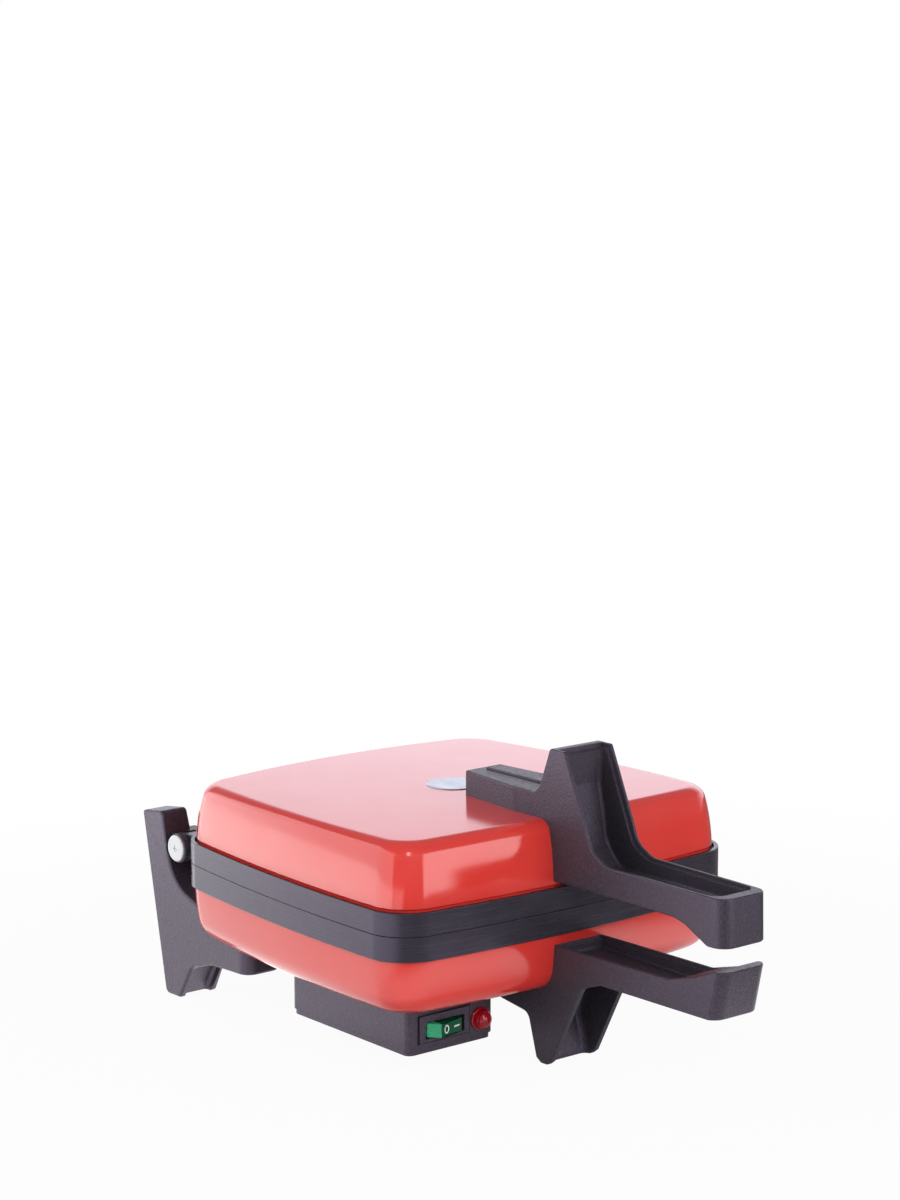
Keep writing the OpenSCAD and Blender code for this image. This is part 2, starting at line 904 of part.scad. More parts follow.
// Plan of a bracket, with a round front end on its arm
bracket_plan = rounded([
    [bracket_out, 53, 8], [bracket_out, 170, 0], [bracket_out - bracket_foot_w, 170, 0],
    [bracket_out - bracket_foot_w, 53, 8]
]);

ear_in = 76.5;
ear_out = 86.7;

module bracket() {
    difference() {
        union() {
            difference() {
                intersection() {
                    side_slab(bracket_side, bracket_out - bracket_foot_w - past, bracket_out + past);
                    top_slab(bracket_plan, -95, 30);
                }
                side_slab(foot_hollow, bracket_out - bracket_foot_w + foot_rib, bracket_out - foot_rib);
                inner_draft();
                translate([0, hinge_back, hinge_up])
                    x_cylinder(knuckle_r + 0.9, ear_out, bracket_out + past);
            }
            bracket_ear();
        }
        translate([0, hinge_back, hinge_up])
            x_cylinder(pin_r + pin_gap, ear_in - past, ear_out + past);
        pan_space();
        mirror([0, 0, 1])
            top_slab(plan(-0.3), belt_gap, belt_down + 0.3);
        translate([bracket_out - 11, arm_screw_y, -pan_bottom - 13])
            cylinder(r = 2.1, h = 18);
    }
}

// Slanted plane that thins the upright towards its top
module inner_draft() {
    drop = parting_z + 22;
    lean = atan((bracket_foot_w - bracket_top_w) / drop);
    translate([bracket_out - bracket_foot_w, 0, -parting_z])
        rotate([0, lean, 0])
            translate([-30, 40, -10])
                cube([30, 130, drop + 30]);
}

module bracket_ear() {
    translate([0, hinge_back, hinge_up])
        x_cylinder(knuckle_r, ear_in, ear_out);
    translate([ear_in, hinge_back, hinge_up - 7])
        cube([ear_out - ear_in, 16, 14]);
}

arm_screw_y = 66;

module rear_bracket_left() {
    color(bakelite)
        at_body()
            mirror([1, 0, 0])
                bracket();
}

module rear_bracket_right() {
    color(bakelite)
        at_body()
            bracket();
}

module bracket_screws() {
    color(steel)
        at_body()
            both_sides()
                translate([bracket_out - 11, arm_screw_y, -pan_bottom + sheet + 0.1])
                    pan_screw(4, 2.4, 2, 11);
}

// Hinge: steel pins with ribbed knobs and pale caps on their outer ends

knob_r = 8.6;
knob_in = 97;
knob_out = 101;
nut_r = 5;

module at_hinge() {
    at_body()
        both_sides()
            translate([0, hinge_back, hinge_up])
                children();
}

module hinge_pins() {
    color(steel)
        at_hinge()
            x_cylinder(pin_r, ear_in - 4.5, knob_in + 2);
}

// Knob with ribs round its rim
module hinge_knobs() {
    color(bakelite)
        at_hinge()
            difference() {
                union() {
                    x_cylinder(knob_r - 0.6, knob_in, knob_out);
                    for (i = [0:23])
                        rotate([15 * i, 0, 0])
                            translate([knob_in, -0.6, 0])
                                cube([knob_out - knob_in, 1.2, knob_r]);
                }
                x_cylinder(pin_r, knob_in - past, knob_in + 2);
            }
}

module hinge_caps() {
    color("#f0f1f2")
        at_hinge()
            difference() {
                union() {
                    x_cylinder(7.6, knob_out, knob_out + 0.9);
                    translate([knob_out + 0.8, 0, 0])
                        rotate([0, 90, 0])
                            cylinder(r1 = 7.6, r2 = 6.9, h = 0.6);
                }
                x_cylinder(2, knob_out + 0.7, knob_out + 2);
            }
}

module hinge_nuts() {
    color(steel)
        at_hinge()
            difference() {
                translate([ear_in - 4, 0, 0])
                    rotate([0, 90, 0])
                        cylinder(r = nut_r, h = 3.8, $fn = 6);
                x_cylinder(pin_r, ear_in - 5, ear_in);
            }
}

// Control box under the front left of the lower shell

cover_t = 2.6;
box_wall = 2.4;
box_corner = 4;

// Outline of the box seen from above, drawn in by near at the front and left and by far elsewhere
function box_outline(near, far) = let (x0 = -box_left + near, x1 = box_w - box_left - far,
    y0 = -box_front + near, y1 = box_len - box_front - far, r = max(0.5, box_corner - near))
    rounded([[x0, y0, r], [x1, y0, r], [x1, y1, r], [x0, y1, r]]);

switch_x = -box_left + 24.8;
switch_z = -60.8;
switch_w = 34.2;
switch_h = 15.1;
// Height of the frame's middle above the rocker's
switch_rise = 0.95;
// Recess for the frame, wider at its left and its top
recess_wide = 1.8;
recess_high = 1.1;
recess_end = 0.2;
recess_depth = 1.2;
lamp_x = -box_left + 49;
lamp_z = -61;
cord_x = -box_left + box_w / 2;
cord_z = -60;

module control_box() {
    color(bakelite)
        at_body()
            difference() {
                top_slab(box_outline(0, 0), -box_bottom + cover_t, -pan_bottom + 14);
                top_slab(box_outline(box_wall, box_wall), -box_bottom, -pan_bottom + 20);
                pan_space();
                translate([switch_x, -box_front, switch_z + switch_rise])
                    cube([switch_w - 2.4, 2 * box_wall + 5, switch_h - 1.7], center = true);
                translate([switch_x - switch_w / 2 - recess_wide, -box_front - past,
                    switch_z + switch_rise - switch_h / 2 - recess_end])
                    cube([switch_w + recess_wide + recess_end, recess_depth + past,
                        switch_h + recess_high + recess_end]);
                translate([lamp_x, -box_front - past, lamp_z])
                    y_cylinder(4.6, 0, box_wall + 2 * past);
                translate([cord_x, box_len - box_front - box_wall - past, cord_z])
                    y_cylinder(5.5, 0, box_wall + 2 * past);
            }
}

module control_box_cover() {
    color(bakelite)
        at_body()
            difference() {
                union() {
                    top_slab(box_outline(0, 1.6), -box_bottom, -box_bottom + cover_t - seat);
                    cover_posts(4.4, 0, 12);
                }
                cover_posts(1.6, -past, 12 + 2 * past);
                cover_posts(3.1, -past, past + 1.8);
            }
}

cover_screw_spots = [
    [-box_left + 9, box_len - box_front - 9], [box_w - box_left - 9, box_len - box_front - 9],
    [-box_left + 8, 26 - box_front], [box_w - box_left - 9, 36 - box_front]
];

module cover_posts(r, z, h) {
    for (at = cover_screw_spots)
        translate([at.x, at.y, -box_bottom + z])
            cylinder(r = r, h = h);
}

module cover_screws() {
    color(steel)
        at_body()
            for (at = cover_screw_spots)
                translate([at.x, at.y, -box_bottom + 1.75])
                    rotate([180, 0, 0])
                        pan_screw(2.8, 1.4, 1.5, 9);
}

module cord_bushing() {
    color(bakelite)
        at_body()
            translate([cord_x, box_len - box_front, cord_z])
                difference() {
                    union() {
                        y_cylinder(5.4, -box_wall - 2, 0);
                        y_cylinder(7.5, 0.05, 3);
                        y_cylinder(5.4, -1, 1);
                    }
                    y_cylinder(3.6, -10, 10);
                }
}

// Rocker switch: framed housing, and the rocker that tilts about an upright axis

rocker_h = 7.6;
pivot_back = 4;
trunnion_r = 1.4;
// Half length and half height of the opening in the frame
well_x = 13.3;
well_z = 4.6;

module at_switch() {
    at_body()
        translate([switch_x, -box_front, switch_z])
            children();
}

module switch_housing() {
    color(bakelite)
        at_switch()
            difference() {
                union() {
                    translate([-switch_w / 2, -0.4, switch_rise - switch_h / 2])
                        cube([switch_w, recess_depth + 0.4 - seat, switch_h]);
                    translate([-switch_w / 2 + 1.3, 0.7, switch_rise - switch_h / 2 + 0.95])
                        cube([switch_w - 2.6, 16, switch_h - 1.9]);
                }
                translate([-well_x, -past - 0.4, -well_z])
                    cube([2 * well_x, 14, 2 * well_z]);
                translate([0, pivot_back, -5.5])
                    cylinder(r = trunnion_r + pin_gap, h = 11);
            }
}

// Outline of the rocker seen from above: a shallow hollow in its face, and ends that slant outwards
rocker_outline = rounded([
    [-8.2, -8, 0.8], [0, -6.9, 60], [8.2, -8, 0.8], [12.2, -1, 0.5], [11.6, 1.4, 0], [5, 3.4, 0],
    [-5, 3.4, 0], [-11.6, 1.4, 0], [-12.2, -1, 0.5]
]);

module switch_rocker() {
    color("#1f9a5f")
        at_switch()
            translate([0, pivot_back, 0])
                rotate([0, 0, rocker_tilt]) {
                    top_slab(rocker_outline, -rocker_h / 2, rocker_h / 2);
                    translate([0, 0, -5.3])
                        cylinder(r = trunnion_r, h = 10.6);
                }
}

// Pilot lamp: red lens in the front wall, lamp holder behind it

module at_lamp() {
    at_body()
        translate([lamp_x, -box_front, lamp_z])
            children();
}

module lamp_lens() {
    color("#a01820")
        at_lamp()
            difference() {
                union() {
                    y_cylinder(6.4, -1.3, -0.05);
                    translate([0, -1.3, 0])
                        rotate([90, 0, 0])
                            cylinder(r1 = 5.6, r2 = 4.6, h = 3);
                    intersection() {
                        translate([0, 1.2, 0])
                            sphere(r = 7.6);
                        y_cylinder(4.6, -8, -4.2);
                    }
                    y_cylinder(4.5, -0.1, 5);
                }
                y_cylinder(3.2, -1, 6);
            }
}

module lamp_body() {
    color("#e6e4de")
        at_lamp() {
            y_cylinder(3.1, 1, 5.3);
            y_cylinder(5.2, 5.1, 14);
            for (sx = [-1, 1])
                translate([sx * 3 - 0.4, 13.9, -2])
                    cube([0.8, 7, 4]);
        }
}

upper_shell();
upper_belt();
upper_plate();
upper_heater();
upper_reflector();
upper_leads();
upper_handle();
upper_handle_screws();
upper_plate_screws();
lower_shell();
lower_belt();
lower_plate();
lower_heater();
lower_reflector();
lower_leads();
lower_handle();
lower_handle_screws();
lower_plate_screws();
rear_bracket_left();
rear_bracket_right();
bracket_screws();
hinge_pins();
hinge_knobs();
hinge_caps();
hinge_nuts();
thermostat();
thermal_fuse();
terminal_block();
control_box();
control_box_cover();
cover_screws();
cord_bushing();
switch_housing();
switch_rocker();
lamp_lens();
lamp_body();
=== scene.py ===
"""Looks of the taiyaki maker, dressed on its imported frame.

Shapes are drawn in millimetres in the body's own frame: x across, y to the rear, z up from the parting plane
between lid and base. The function named piece puts them in the frame's metres.
"""

import math

import bmesh
import bpy
from mathutils import Matrix, Vector


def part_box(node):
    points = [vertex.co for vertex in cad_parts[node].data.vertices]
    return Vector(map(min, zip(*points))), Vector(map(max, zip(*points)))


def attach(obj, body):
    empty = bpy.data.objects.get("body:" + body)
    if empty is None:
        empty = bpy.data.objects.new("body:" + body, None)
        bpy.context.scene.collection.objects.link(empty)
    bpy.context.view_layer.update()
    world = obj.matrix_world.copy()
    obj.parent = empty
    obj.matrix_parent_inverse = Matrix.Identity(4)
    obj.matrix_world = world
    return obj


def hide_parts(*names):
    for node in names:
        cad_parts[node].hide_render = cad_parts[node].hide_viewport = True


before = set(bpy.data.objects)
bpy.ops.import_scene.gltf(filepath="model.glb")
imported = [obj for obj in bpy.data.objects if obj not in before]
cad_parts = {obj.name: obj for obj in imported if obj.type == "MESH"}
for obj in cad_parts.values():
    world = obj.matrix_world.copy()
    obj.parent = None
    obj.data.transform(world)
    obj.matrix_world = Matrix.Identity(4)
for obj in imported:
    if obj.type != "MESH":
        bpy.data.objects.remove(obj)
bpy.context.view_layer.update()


def mm(value):
    return value * 0.001


# Camera and light

CAMERA_AT = Vector((-1.0330, -1.2242, 0.5101))
CAMERA_YAW = math.radians(39.286)
CAMERA_PITCH = math.radians(9.431)
CAMERA_LENS = 89.2


def make_camera():
    data = bpy.data.cameras.new("camera")
    data.lens = CAMERA_LENS
    data.sensor_width = 36
    data.clip_start, data.clip_end = 0.05, 30
    camera = bpy.data.objects.new("camera", data)
    camera.location = CAMERA_AT
    camera.rotation_euler = (math.radians(90) - CAMERA_PITCH, 0, -CAMERA_YAW)
    bpy.context.scene.collection.objects.link(camera)
    bpy.context.scene.camera = camera


# Studio panels: name, azimuth from +x, distance, height, width, tall (metres), radiance, and what shows it.
# The cards are reflections in gloss: two broad faces and a small highlight. The other two light matt surfaces.
PANELS = [
    ("left card", 150, 0.5, 0.3, 1.05, 0.58, 2.05, "gloss"),
    ("front card", 284, 0.8, 0.245, 0.5, 0.45, 4.0, "gloss"),
    ("high card", 231, 1.5, 1.35, 0.2, 1.0, 9.0, "gloss"),
    ("left panel", 165, 1.2, 0.8, 1.3, 0.7, 1.85, "matt"),
    ("front panel", 262, 1.3, 0.7, 1.6, 0.6, 2.75, "matt"),
]
LIGHT_AIM = Vector((0, 0, 0.09))


def panel(name, azimuth, distance, height, width, tall, radiance, shows):
    """A rectangular panel that faces the object: tilted towards it, or upright where it would reach the floor."""
    data = bpy.data.lights.new(name, "AREA")
    data.shape = "RECTANGLE"
    data.size, data.size_y = width, tall
    data.energy = radiance * math.pi * width * tall
    lamp = bpy.data.objects.new(name, data)
    angle = math.radians(azimuth)
    lamp.location = (distance * math.cos(angle), distance * math.sin(angle), height)
    if tall < height:
        lamp.rotation_mode = "QUATERNION"
        lamp.rotation_quaternion = (LIGHT_AIM - lamp.location).to_track_quat("-Z", "Y")
    else:
        lamp.rotation_euler = (math.radians(90), 0, angle + math.radians(90))
    lamp.visible_camera = False
    lamp.visible_diffuse = shows == "matt"
    lamp.visible_glossy = shows == "gloss"
    bpy.context.scene.collection.objects.link(lamp)


def add(tree, kind, links=None, **settings):
    """Adds a node, with its settings by attribute or by socket name, and its links by socket name."""
    node = tree.nodes.new(kind)
    for name, value in settings.items():
        if hasattr(node, name):
            setattr(node, name, value)
        else:
            node.inputs[name.replace("_", " ")].default_value = value
    for socket, source in (links or {}).items():
        if isinstance(source, (int, float)):
            node.inputs[socket].default_value = source
        else:
            tree.links.new(source, node.inputs[socket])
    return node


def maths(tree, operation, first, second=0.0):
    return add(tree, "ShaderNodeMath", {0: first, 1: second}, operation=operation).outputs[0]


def hex_colour(code):
    """Linear colour of an sRGB hex value."""
    parts = [int(code[i:i + 2], 16) / 255 for i in (1, 3, 5)]
    return [c / 12.92 if c <= 0.04045 else ((c + 0.055) / 1.055) ** 2.4 for c in parts] + [1]


WHITE = hex_colour("#ffffff")
# Strength of the surroundings on matt surfaces, level and overhead, and in gloss, before and behind the object
SOFT_LEVEL = 0.66
SOFT_OVERHEAD = 0.22
GLOSS_FRONT = 0.4
GLOSS_REAR = 1.95
COOL_WHITE = "#f6f5ff"


def make_world():
    """White to the camera, a bright backdrop and a darker ceiling in gloss, and a soft light elsewhere."""
    world = bpy.data.worlds.new("studio")
    world.use_nodes = True
    tree = world.node_tree
    tree.nodes.clear()
    path = add(tree, "ShaderNodeLightPath")
    seen = maths(tree, "MAXIMUM", path.outputs["Is Camera Ray"], path.outputs["Is Transmission Ray"])
    facing = add(tree, "ShaderNodeTexCoord").outputs["Generated"]
    height = add(tree, "ShaderNodeSeparateXYZ", {0: facing}).outputs["Z"]
    overhead = add(tree, "ShaderNodeMapRange", {"Value": height}, To_Min=SOFT_LEVEL, To_Max=SOFT_OVERHEAD)
    soft = add(tree, "ShaderNodeBackground", {"Strength": overhead.outputs[0]}, Color=WHITE)
    rear = add(tree, "ShaderNodeVectorMath", {0: facing}, operation="DOT_PRODUCT")
    rear.inputs[1].default_value = (math.sin(CAMERA_YAW), math.cos(CAMERA_YAW), 0)
    rear = add(tree, "ShaderNodeMapRange", {"Value": rear.outputs["Value"]}, From_Min=0.1, From_Max=0.7,
               interpolation_type="SMOOTHSTEP").outputs[0]
    low = add(tree, "ShaderNodeMapRange", {"Value": height}, From_Min=0.5, From_Max=0.22,
              interpolation_type="SMOOTHSTEP").outputs[0]
    strength = add(tree, "ShaderNodeMapRange", {"Value": maths(tree, "MULTIPLY", rear, low)},
                   To_Min=GLOSS_FRONT, To_Max=GLOSS_REAR).outputs[0]
    gloss = add(tree, "ShaderNodeBackground", {"Strength": strength}, Color=hex_colour(COOL_WHITE))
    white = add(tree, "ShaderNodeBackground", Color=WHITE, Strength=1.0)
    mix = add(tree, "ShaderNodeMixShader",
              {0: path.outputs["Is Glossy Ray"], 1: soft.outputs[0], 2: gloss.outputs[0]})
    mix = add(tree, "ShaderNodeMixShader", {0: seen, 1: mix.outputs[0], 2: white.outputs[0]})
    add(tree, "ShaderNodeOutputWorld", {"Surface": mix.outputs[0]})
    bpy.context.scene.world = world


# Strength of the floor's glow in gloss, which paints light and shade on it: far away, round the object (a painted
# pool of light), its share under the object (a painted shadow), and on the left (a painted pool of light)
FLOOR_GLOSS_FAR = 0.2
FLOOR_GLOSS_NEAR = 1.8
FLOOR_GLOSS_UNDER = 0.25
FLOOR_GLOSS_LEFT = 2.1
FLOOR_HALF = 6


def make_floor():
    """A plain white paper floor that shows as white, with a faint soft shadow round the object, and a glow in gloss
    that paints light round it and shade under it.
    """
    mesh = bpy.data.meshes.new("floor")
    mesh.from_pydata([(FLOOR_HALF * a, FLOOR_HALF * b, 0) for a, b in ((-1, -1), (1, -1), (1, 1), (-1, 1))],
                     [], [(0, 1, 2, 3)])
    floor = bpy.data.objects.new("floor", mesh)
    bpy.context.scene.collection.objects.link(floor)
    material = bpy.data.materials.new("white paper sweep")
    material.use_nodes = True
    tree = material.node_tree
    tree.nodes.clear()
    path = add(tree, "ShaderNodeLightPath")
    place = add(tree, "ShaderNodeTexCoord").outputs["Object"]
    away = add(tree, "ShaderNodeVectorMath", {0: place}, operation="LENGTH").outputs["Value"]
    share = add(tree, "ShaderNodeMapRange", {"Value": away}, From_Min=0.25, From_Max=0.7, To_Min=0.95, To_Max=1.0,
                interpolation_type="SMOOTHSTEP").outputs[0]
    paper = add(tree, "ShaderNodeBsdfDiffuse", Color=hex_colour("#f2f2f2"))
    white = add(tree, "ShaderNodeEmission", Color=WHITE, Strength=1.0)
    seen = maths(tree, "MAXIMUM", path.outputs["Is Camera Ray"], path.outputs["Is Transmission Ray"])
    mix = add(tree, "ShaderNodeMixShader",
              {0: maths(tree, "MULTIPLY", seen, share), 1: paper.outputs[0], 2: white.outputs[0]})
    axes = add(tree, "ShaderNodeSeparateXYZ", {0: place})
    # Painted light in gloss: the floor glows brighter round the object and on the left, as painted pools of light,
    # and dimmer under the object, as a painted shadow
    near = add(tree, "ShaderNodeMapRange", {"Value": away}, From_Min=0.22, From_Max=0.32,
               To_Min=FLOOR_GLOSS_NEAR, To_Max=FLOOR_GLOSS_FAR, interpolation_type="SMOOTHSTEP").outputs[0]
    shade = add(tree, "ShaderNodeMapRange", {"Value": away}, From_Min=0.11, From_Max=0.19,
                To_Min=FLOOR_GLOSS_UNDER, To_Max=1.0, interpolation_type="SMOOTHSTEP").outputs[0]
    near = maths(tree, "MULTIPLY", near, shade)
    left = maths(tree, "SUBTRACT", axes.outputs["Y"], axes.outputs["X"])
    left = add(tree, "ShaderNodeMapRange", {"Value": left}, From_Min=0.0, From_Max=0.25,
               To_Min=0.0, To_Max=FLOOR_GLOSS_LEFT, interpolation_type="SMOOTHSTEP").outputs[0]
    gloss = add(tree, "ShaderNodeEmission", {"Strength": maths(tree, "MAXIMUM", near, left)}, Color=WHITE)
    mix = add(tree, "ShaderNodeMixShader",
              {0: path.outputs["Is Glossy Ray"], 1: mix.outputs[0], 2: gloss.outputs[0]})
    add(tree, "ShaderNodeOutputMaterial", {"Surface": mix.outputs[0]})
    mesh.materials.append(material)


# Materials

def blank_material(name):
    """A new material, its tree, its shader and its Object coordinates."""
    material = bpy.data.materials.new(name)
    material.use_nodes = True
    tree = material.node_tree
    tree.nodes.clear()
    shader = add(tree, "ShaderNodeBsdfPrincipled")
    add(tree, "ShaderNodeOutputMaterial", {"Surface": shader.outputs[0]})
    place = add(tree, "ShaderNodeTexCoord").outputs["Object"]
    return material, tree, shader, place


def noise(tree, place, size_mm, detail=2.0, stretch=(1, 1, 1)):
    """Noise whose blobs are about size_mm across, longer along an axis whose stretch is under 1."""
    mapped = add(tree, "ShaderNodeMapping", {"Vector": place}, Scale=stretch)
    return add(tree, "ShaderNodeTexNoise", {"Vector": mapped.outputs[0]}, Scale=1 / mm(size_mm),
               Detail=detail, Roughness=0.55).outputs["Fac"]


def ranged(tree, source, low, high, from_low=0.3, from_high=0.7):
    return add(tree, "ShaderNodeMapRange", {"Value": source}, From_Min=from_low, From_Max=from_high,
               To_Min=low, To_Max=high).outputs[0]


def two_tone(tree, source, dark, light):
    """Blends two hex colours by a source between 0.3 and 0.7."""
    ramp = add(tree, "ShaderNodeValToRGB", {"Fac": source})
    ramp.color_ramp.elements[0].position, ramp.color_ramp.elements[1].position = 0.3, 0.7
    ramp.color_ramp.elements[0].color = hex_colour(dark)
    ramp.color_ramp.elements[1].color = hex_colour(light)
    return ramp.outputs[0]


def bump(tree, shader, height, depth_mm, strength=1.0, under=None):
    links = {"Height": height}
    if under:
        links["Normal"] = under
    node = add(tree, "ShaderNodeBump", links, Strength=strength, Distance=mm(depth_mm))
    tree.links.new(node.outputs[0], shader.inputs["Normal"])
    return node.outputs[0]


def make_enamel():
    """Fired glossy enamel on drawn steel: a deep clean red under a glassy skin with a faint orange peel."""
    material, tree, shader, place = blank_material("red vitreous enamel")
    cloud = noise(tree, place, 60)
    tree.links.new(two_tone(tree, cloud, "#e93a33", "#ed423a"), shader.inputs["Base Color"])
    tree.links.new(ranged(tree, noise(tree, place, 25, 3), 0.10, 0.16), shader.inputs["Roughness"])
    shader.inputs["IOR"].default_value = 1.54
    bump(tree, shader, noise(tree, place, 6, 1), 0.02, 0.5)
    return material


# Tint of the resin's sheen, which reads as a cool violet on charcoal
VIOLET_SHEEN = "#e6d2fc"


def make_bakelite(name="black bakelite", dark="#302c33", light="#464149", rough=(0.32, 0.46)):
    """Pressed phenolic resin: charcoal with a violet cast and a fine satin pebble that softens highlights."""
    material, tree, shader, place = blank_material(name)
    tree.links.new(two_tone(tree, noise(tree, place, 1.1, 4), dark, light), shader.inputs["Base Color"])
    tree.links.new(ranged(tree, noise(tree, place, 1.4, 4), *rough), shader.inputs["Roughness"])
    shader.inputs["IOR"].default_value = 1.5
    shader.inputs["Specular Tint"].default_value = hex_colour(VIOLET_SHEEN)
    bump(tree, shader, noise(tree, place, 1.0, 3), 0.22, 1.0)
    return material


def make_belt_resin():
    """The same resin drawn off a polished mould: smoother, with faint streaks that run along the belt."""
    material, tree, shader, place = blank_material("satin bakelite belt")
    tree.links.new(two_tone(tree, noise(tree, place, 15, 4), "#322f36", "#39363e"), shader.inputs["Base Color"])
    streaks = noise(tree, place, 1.2, 2, (0.03, 0.03, 1))
    tree.links.new(ranged(tree, streaks, 0.2, 0.3), shader.inputs["Roughness"])
    shader.inputs["IOR"].default_value = 1.5
    shader.inputs["Specular Tint"].default_value = hex_colour(VIOLET_SHEEN)
    return material


# Height of the plates' meeting faces in the frame, how far from it the fish are, and the size of a scale
PLATE_FACE_Z = 87.3
FISH_FROM, FISH_TO = 4, 6
FISH_SCALE = 6


def make_plate_coating():
    """Cast aluminium under a dark non-stick coat: near black, a low sheen, sandy, with scales deep in the fish."""
    material, tree, shader, place = blank_material("non-stick cast plate")
    tree.links.new(two_tone(tree, noise(tree, place, 8, 4), "#2a2a2c", "#343436"), shader.inputs["Base Color"])
    tree.links.new(ranged(tree, noise(tree, place, 5, 3), 0.32, 0.45), shader.inputs["Roughness"])
    sandy = bump(tree, shader, noise(tree, place, 0.5, 2), 0.04, 0.6)
    height = add(tree, "ShaderNodeSeparateXYZ", {0: place}).outputs["Z"]
    depth = maths(tree, "ABSOLUTE", maths(tree, "SUBTRACT", height, mm(PLATE_FACE_Z)))
    in_fish = ranged(tree, depth, 0, 1, mm(FISH_FROM), mm(FISH_TO))
    scales = add(tree, "ShaderNodeTexVoronoi", {"Vector": place}, Scale=1 / mm(FISH_SCALE), Randomness=0.25)
    bump(tree, shader, maths(tree, "MULTIPLY", scales.outputs["Distance"], in_fish), 0.9, 1.0, under=sandy)
    return material


def make_metal(name, colour, rough, streak=(1, 1, 1)):
    """Bare or plated metal: bright, with fine lines left by how it was made."""
    material, tree, shader, place = blank_material(name)
    shader.inputs["Metallic"].default_value = 1
    shader.inputs["Base Color"].default_value = hex_colour(colour)
    tree.links.new(ranged(tree, noise(tree, place, 1, 3, streak), rough * 0.8, rough * 1.2),
                   shader.inputs["Roughness"])
    bump(tree, shader, noise(tree, place, 0.6, 2, streak), 0.01, 0.4)
    return material


def make_plastic(name, colour, rough, grain_mm=2.0):
    """Moulded plastic: an even colour, a soft highlight and a trace of flow in the surface."""
    material, tree, shader, place = blank_material(name)
    shader.inputs["Base Color"].default_value = hex_colour(colour)
    tree.links.new(ranged(tree, noise(tree, place, grain_mm, 3), rough * 0.85, rough * 1.15),
                   shader.inputs["Roughness"])
    bump(tree, shader, noise(tree, place, grain_mm, 2), 0.01, 0.5)
    return material


# Place of the rocker's pressed-out end in the frame, where its painted highlight starts, and the pitch of its fine
# ribs
ROCKER_END_X = -75.9
ROCKER_RIB = 0.9


def make_rocker_green():
    """Tinted clear plastic of the rocker: deep green, with fine ribs at its pressed-out end, which is painted a
    paler mint where it catches light: a painted highlight.
    """
    material, tree, shader, place = blank_material("green switch rocker")
    axes = add(tree, "ShaderNodeSeparateXYZ", {0: place})
    end = add(tree, "ShaderNodeMapRange", {"Value": axes.outputs["X"]}, From_Min=mm(ROCKER_END_X + 0.15),
              From_Max=mm(ROCKER_END_X - 0.15)).outputs[0]
    # Painted highlight: the pressed-out end is painted pale mint; the ribs on it are real bumps
    tone = add(tree, "ShaderNodeValToRGB", {"Fac": end})
    tone.color_ramp.elements[0].color = hex_colour("#085f3e")
    tone.color_ramp.elements[1].color = hex_colour("#4bcb94")
    tree.links.new(tone.outputs[0], shader.inputs["Base Color"])
    shader.inputs["Roughness"].default_value = 0.2
    shader.inputs["IOR"].default_value = 1.4
    shader.inputs["Transmission Weight"].default_value = 0.1
    ribs = maths(tree, "SINE", maths(tree, "MULTIPLY", axes.outputs["Z"], 2 * math.pi / mm(ROCKER_RIB)))
    bump(tree, shader, maths(tree, "MULTIPLY", ribs, end), 0.14, 1.0)
    return material


def make_clear_plastic(name, colour, rough, clear):
    """Tinted clear plastic: part of the light goes through it, so its edges glow in its colour."""
    material = make_plastic(name, colour, rough)
    shader = next(n for n in material.node_tree.nodes if n.type == "BSDF_PRINCIPLED")
    shader.inputs["Transmission Weight"].default_value = clear
    shader.inputs["IOR"].default_value = 1.49
    return material


MATERIALS = {
    "enamel": make_enamel(),
    "bakelite": make_bakelite(),
    "knob": make_bakelite("ribbed knob resin", "#4a464e", "#58535c", (0.4, 0.5)),
    "belt": make_belt_resin(),
    "plate": make_plate_coating(),
    "steel": make_metal("zinc plated steel", "#c9cbce", 0.3),
    "disc": make_metal("brushed aluminium disc", "#b4bac4", 0.34, (1, 0.04, 1)),
    "heater": make_metal("heat tinted steel tube", "#6f6a68", 0.4),
    "reflector": make_metal("bright aluminium sheet", "#dcdfe2", 0.25, (1, 0.05, 1)),
    "sleeve": make_plastic("glass fibre sleeve", "#a8603c", 0.8, 0.5),
    "white": make_plastic("white moulded cap", "#eef0f2", 0.3),
    "mark": make_plastic("white switch print", "#ffffff", 0.5),
    "ceramic": make_plastic("pale ceramic", "#e4dfd2", 0.5),
    "green": make_rocker_green(),
    "red_lens": make_clear_plastic("red pilot lens", "#a80f22", 0.1, 0.12),
}

# Finish of each CAD node, shown or replaced
NODE_FINISH = {
    "enamel": ["upper_shell", "lower_shell"],
    "belt": ["upper_belt", "lower_belt"],
    "bakelite": ["upper_handle", "lower_handle", "rear_bracket_left", "rear_bracket_right", "control_box",
                 "control_box_cover", "cord_bushing", "switch_housing"],
    "knob": ["hinge_knobs"],
    "plate": ["upper_plate", "lower_plate"],
    "heater": ["upper_heater", "lower_heater"],
    "reflector": ["upper_reflector", "lower_reflector"],
    "sleeve": ["upper_leads", "lower_leads"],
    "white": ["hinge_caps"],
    "ceramic": ["thermal_fuse", "terminal_block", "lamp_body"],
    "green": ["switch_rocker"],
    "red_lens": ["lamp_lens"],
    "steel": ["upper_handle_screws", "lower_handle_screws", "upper_plate_screws", "lower_plate_screws",
              "bracket_screws", "cover_screws", "hinge_pins", "hinge_nuts", "thermostat"],
}


def finish_nodes():
    for finish, names in NODE_FINISH.items():
        for name in names:
            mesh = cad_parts[name].data
            mesh.materials.clear()
            mesh.materials.append(MATERIALS[finish])


# Driving sizes of the body, in millimetres

BELT_GAP = 0.35
BELT_LOW, BELT_HIGH = (Vector(corner) * 1000 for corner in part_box("lower_belt"))
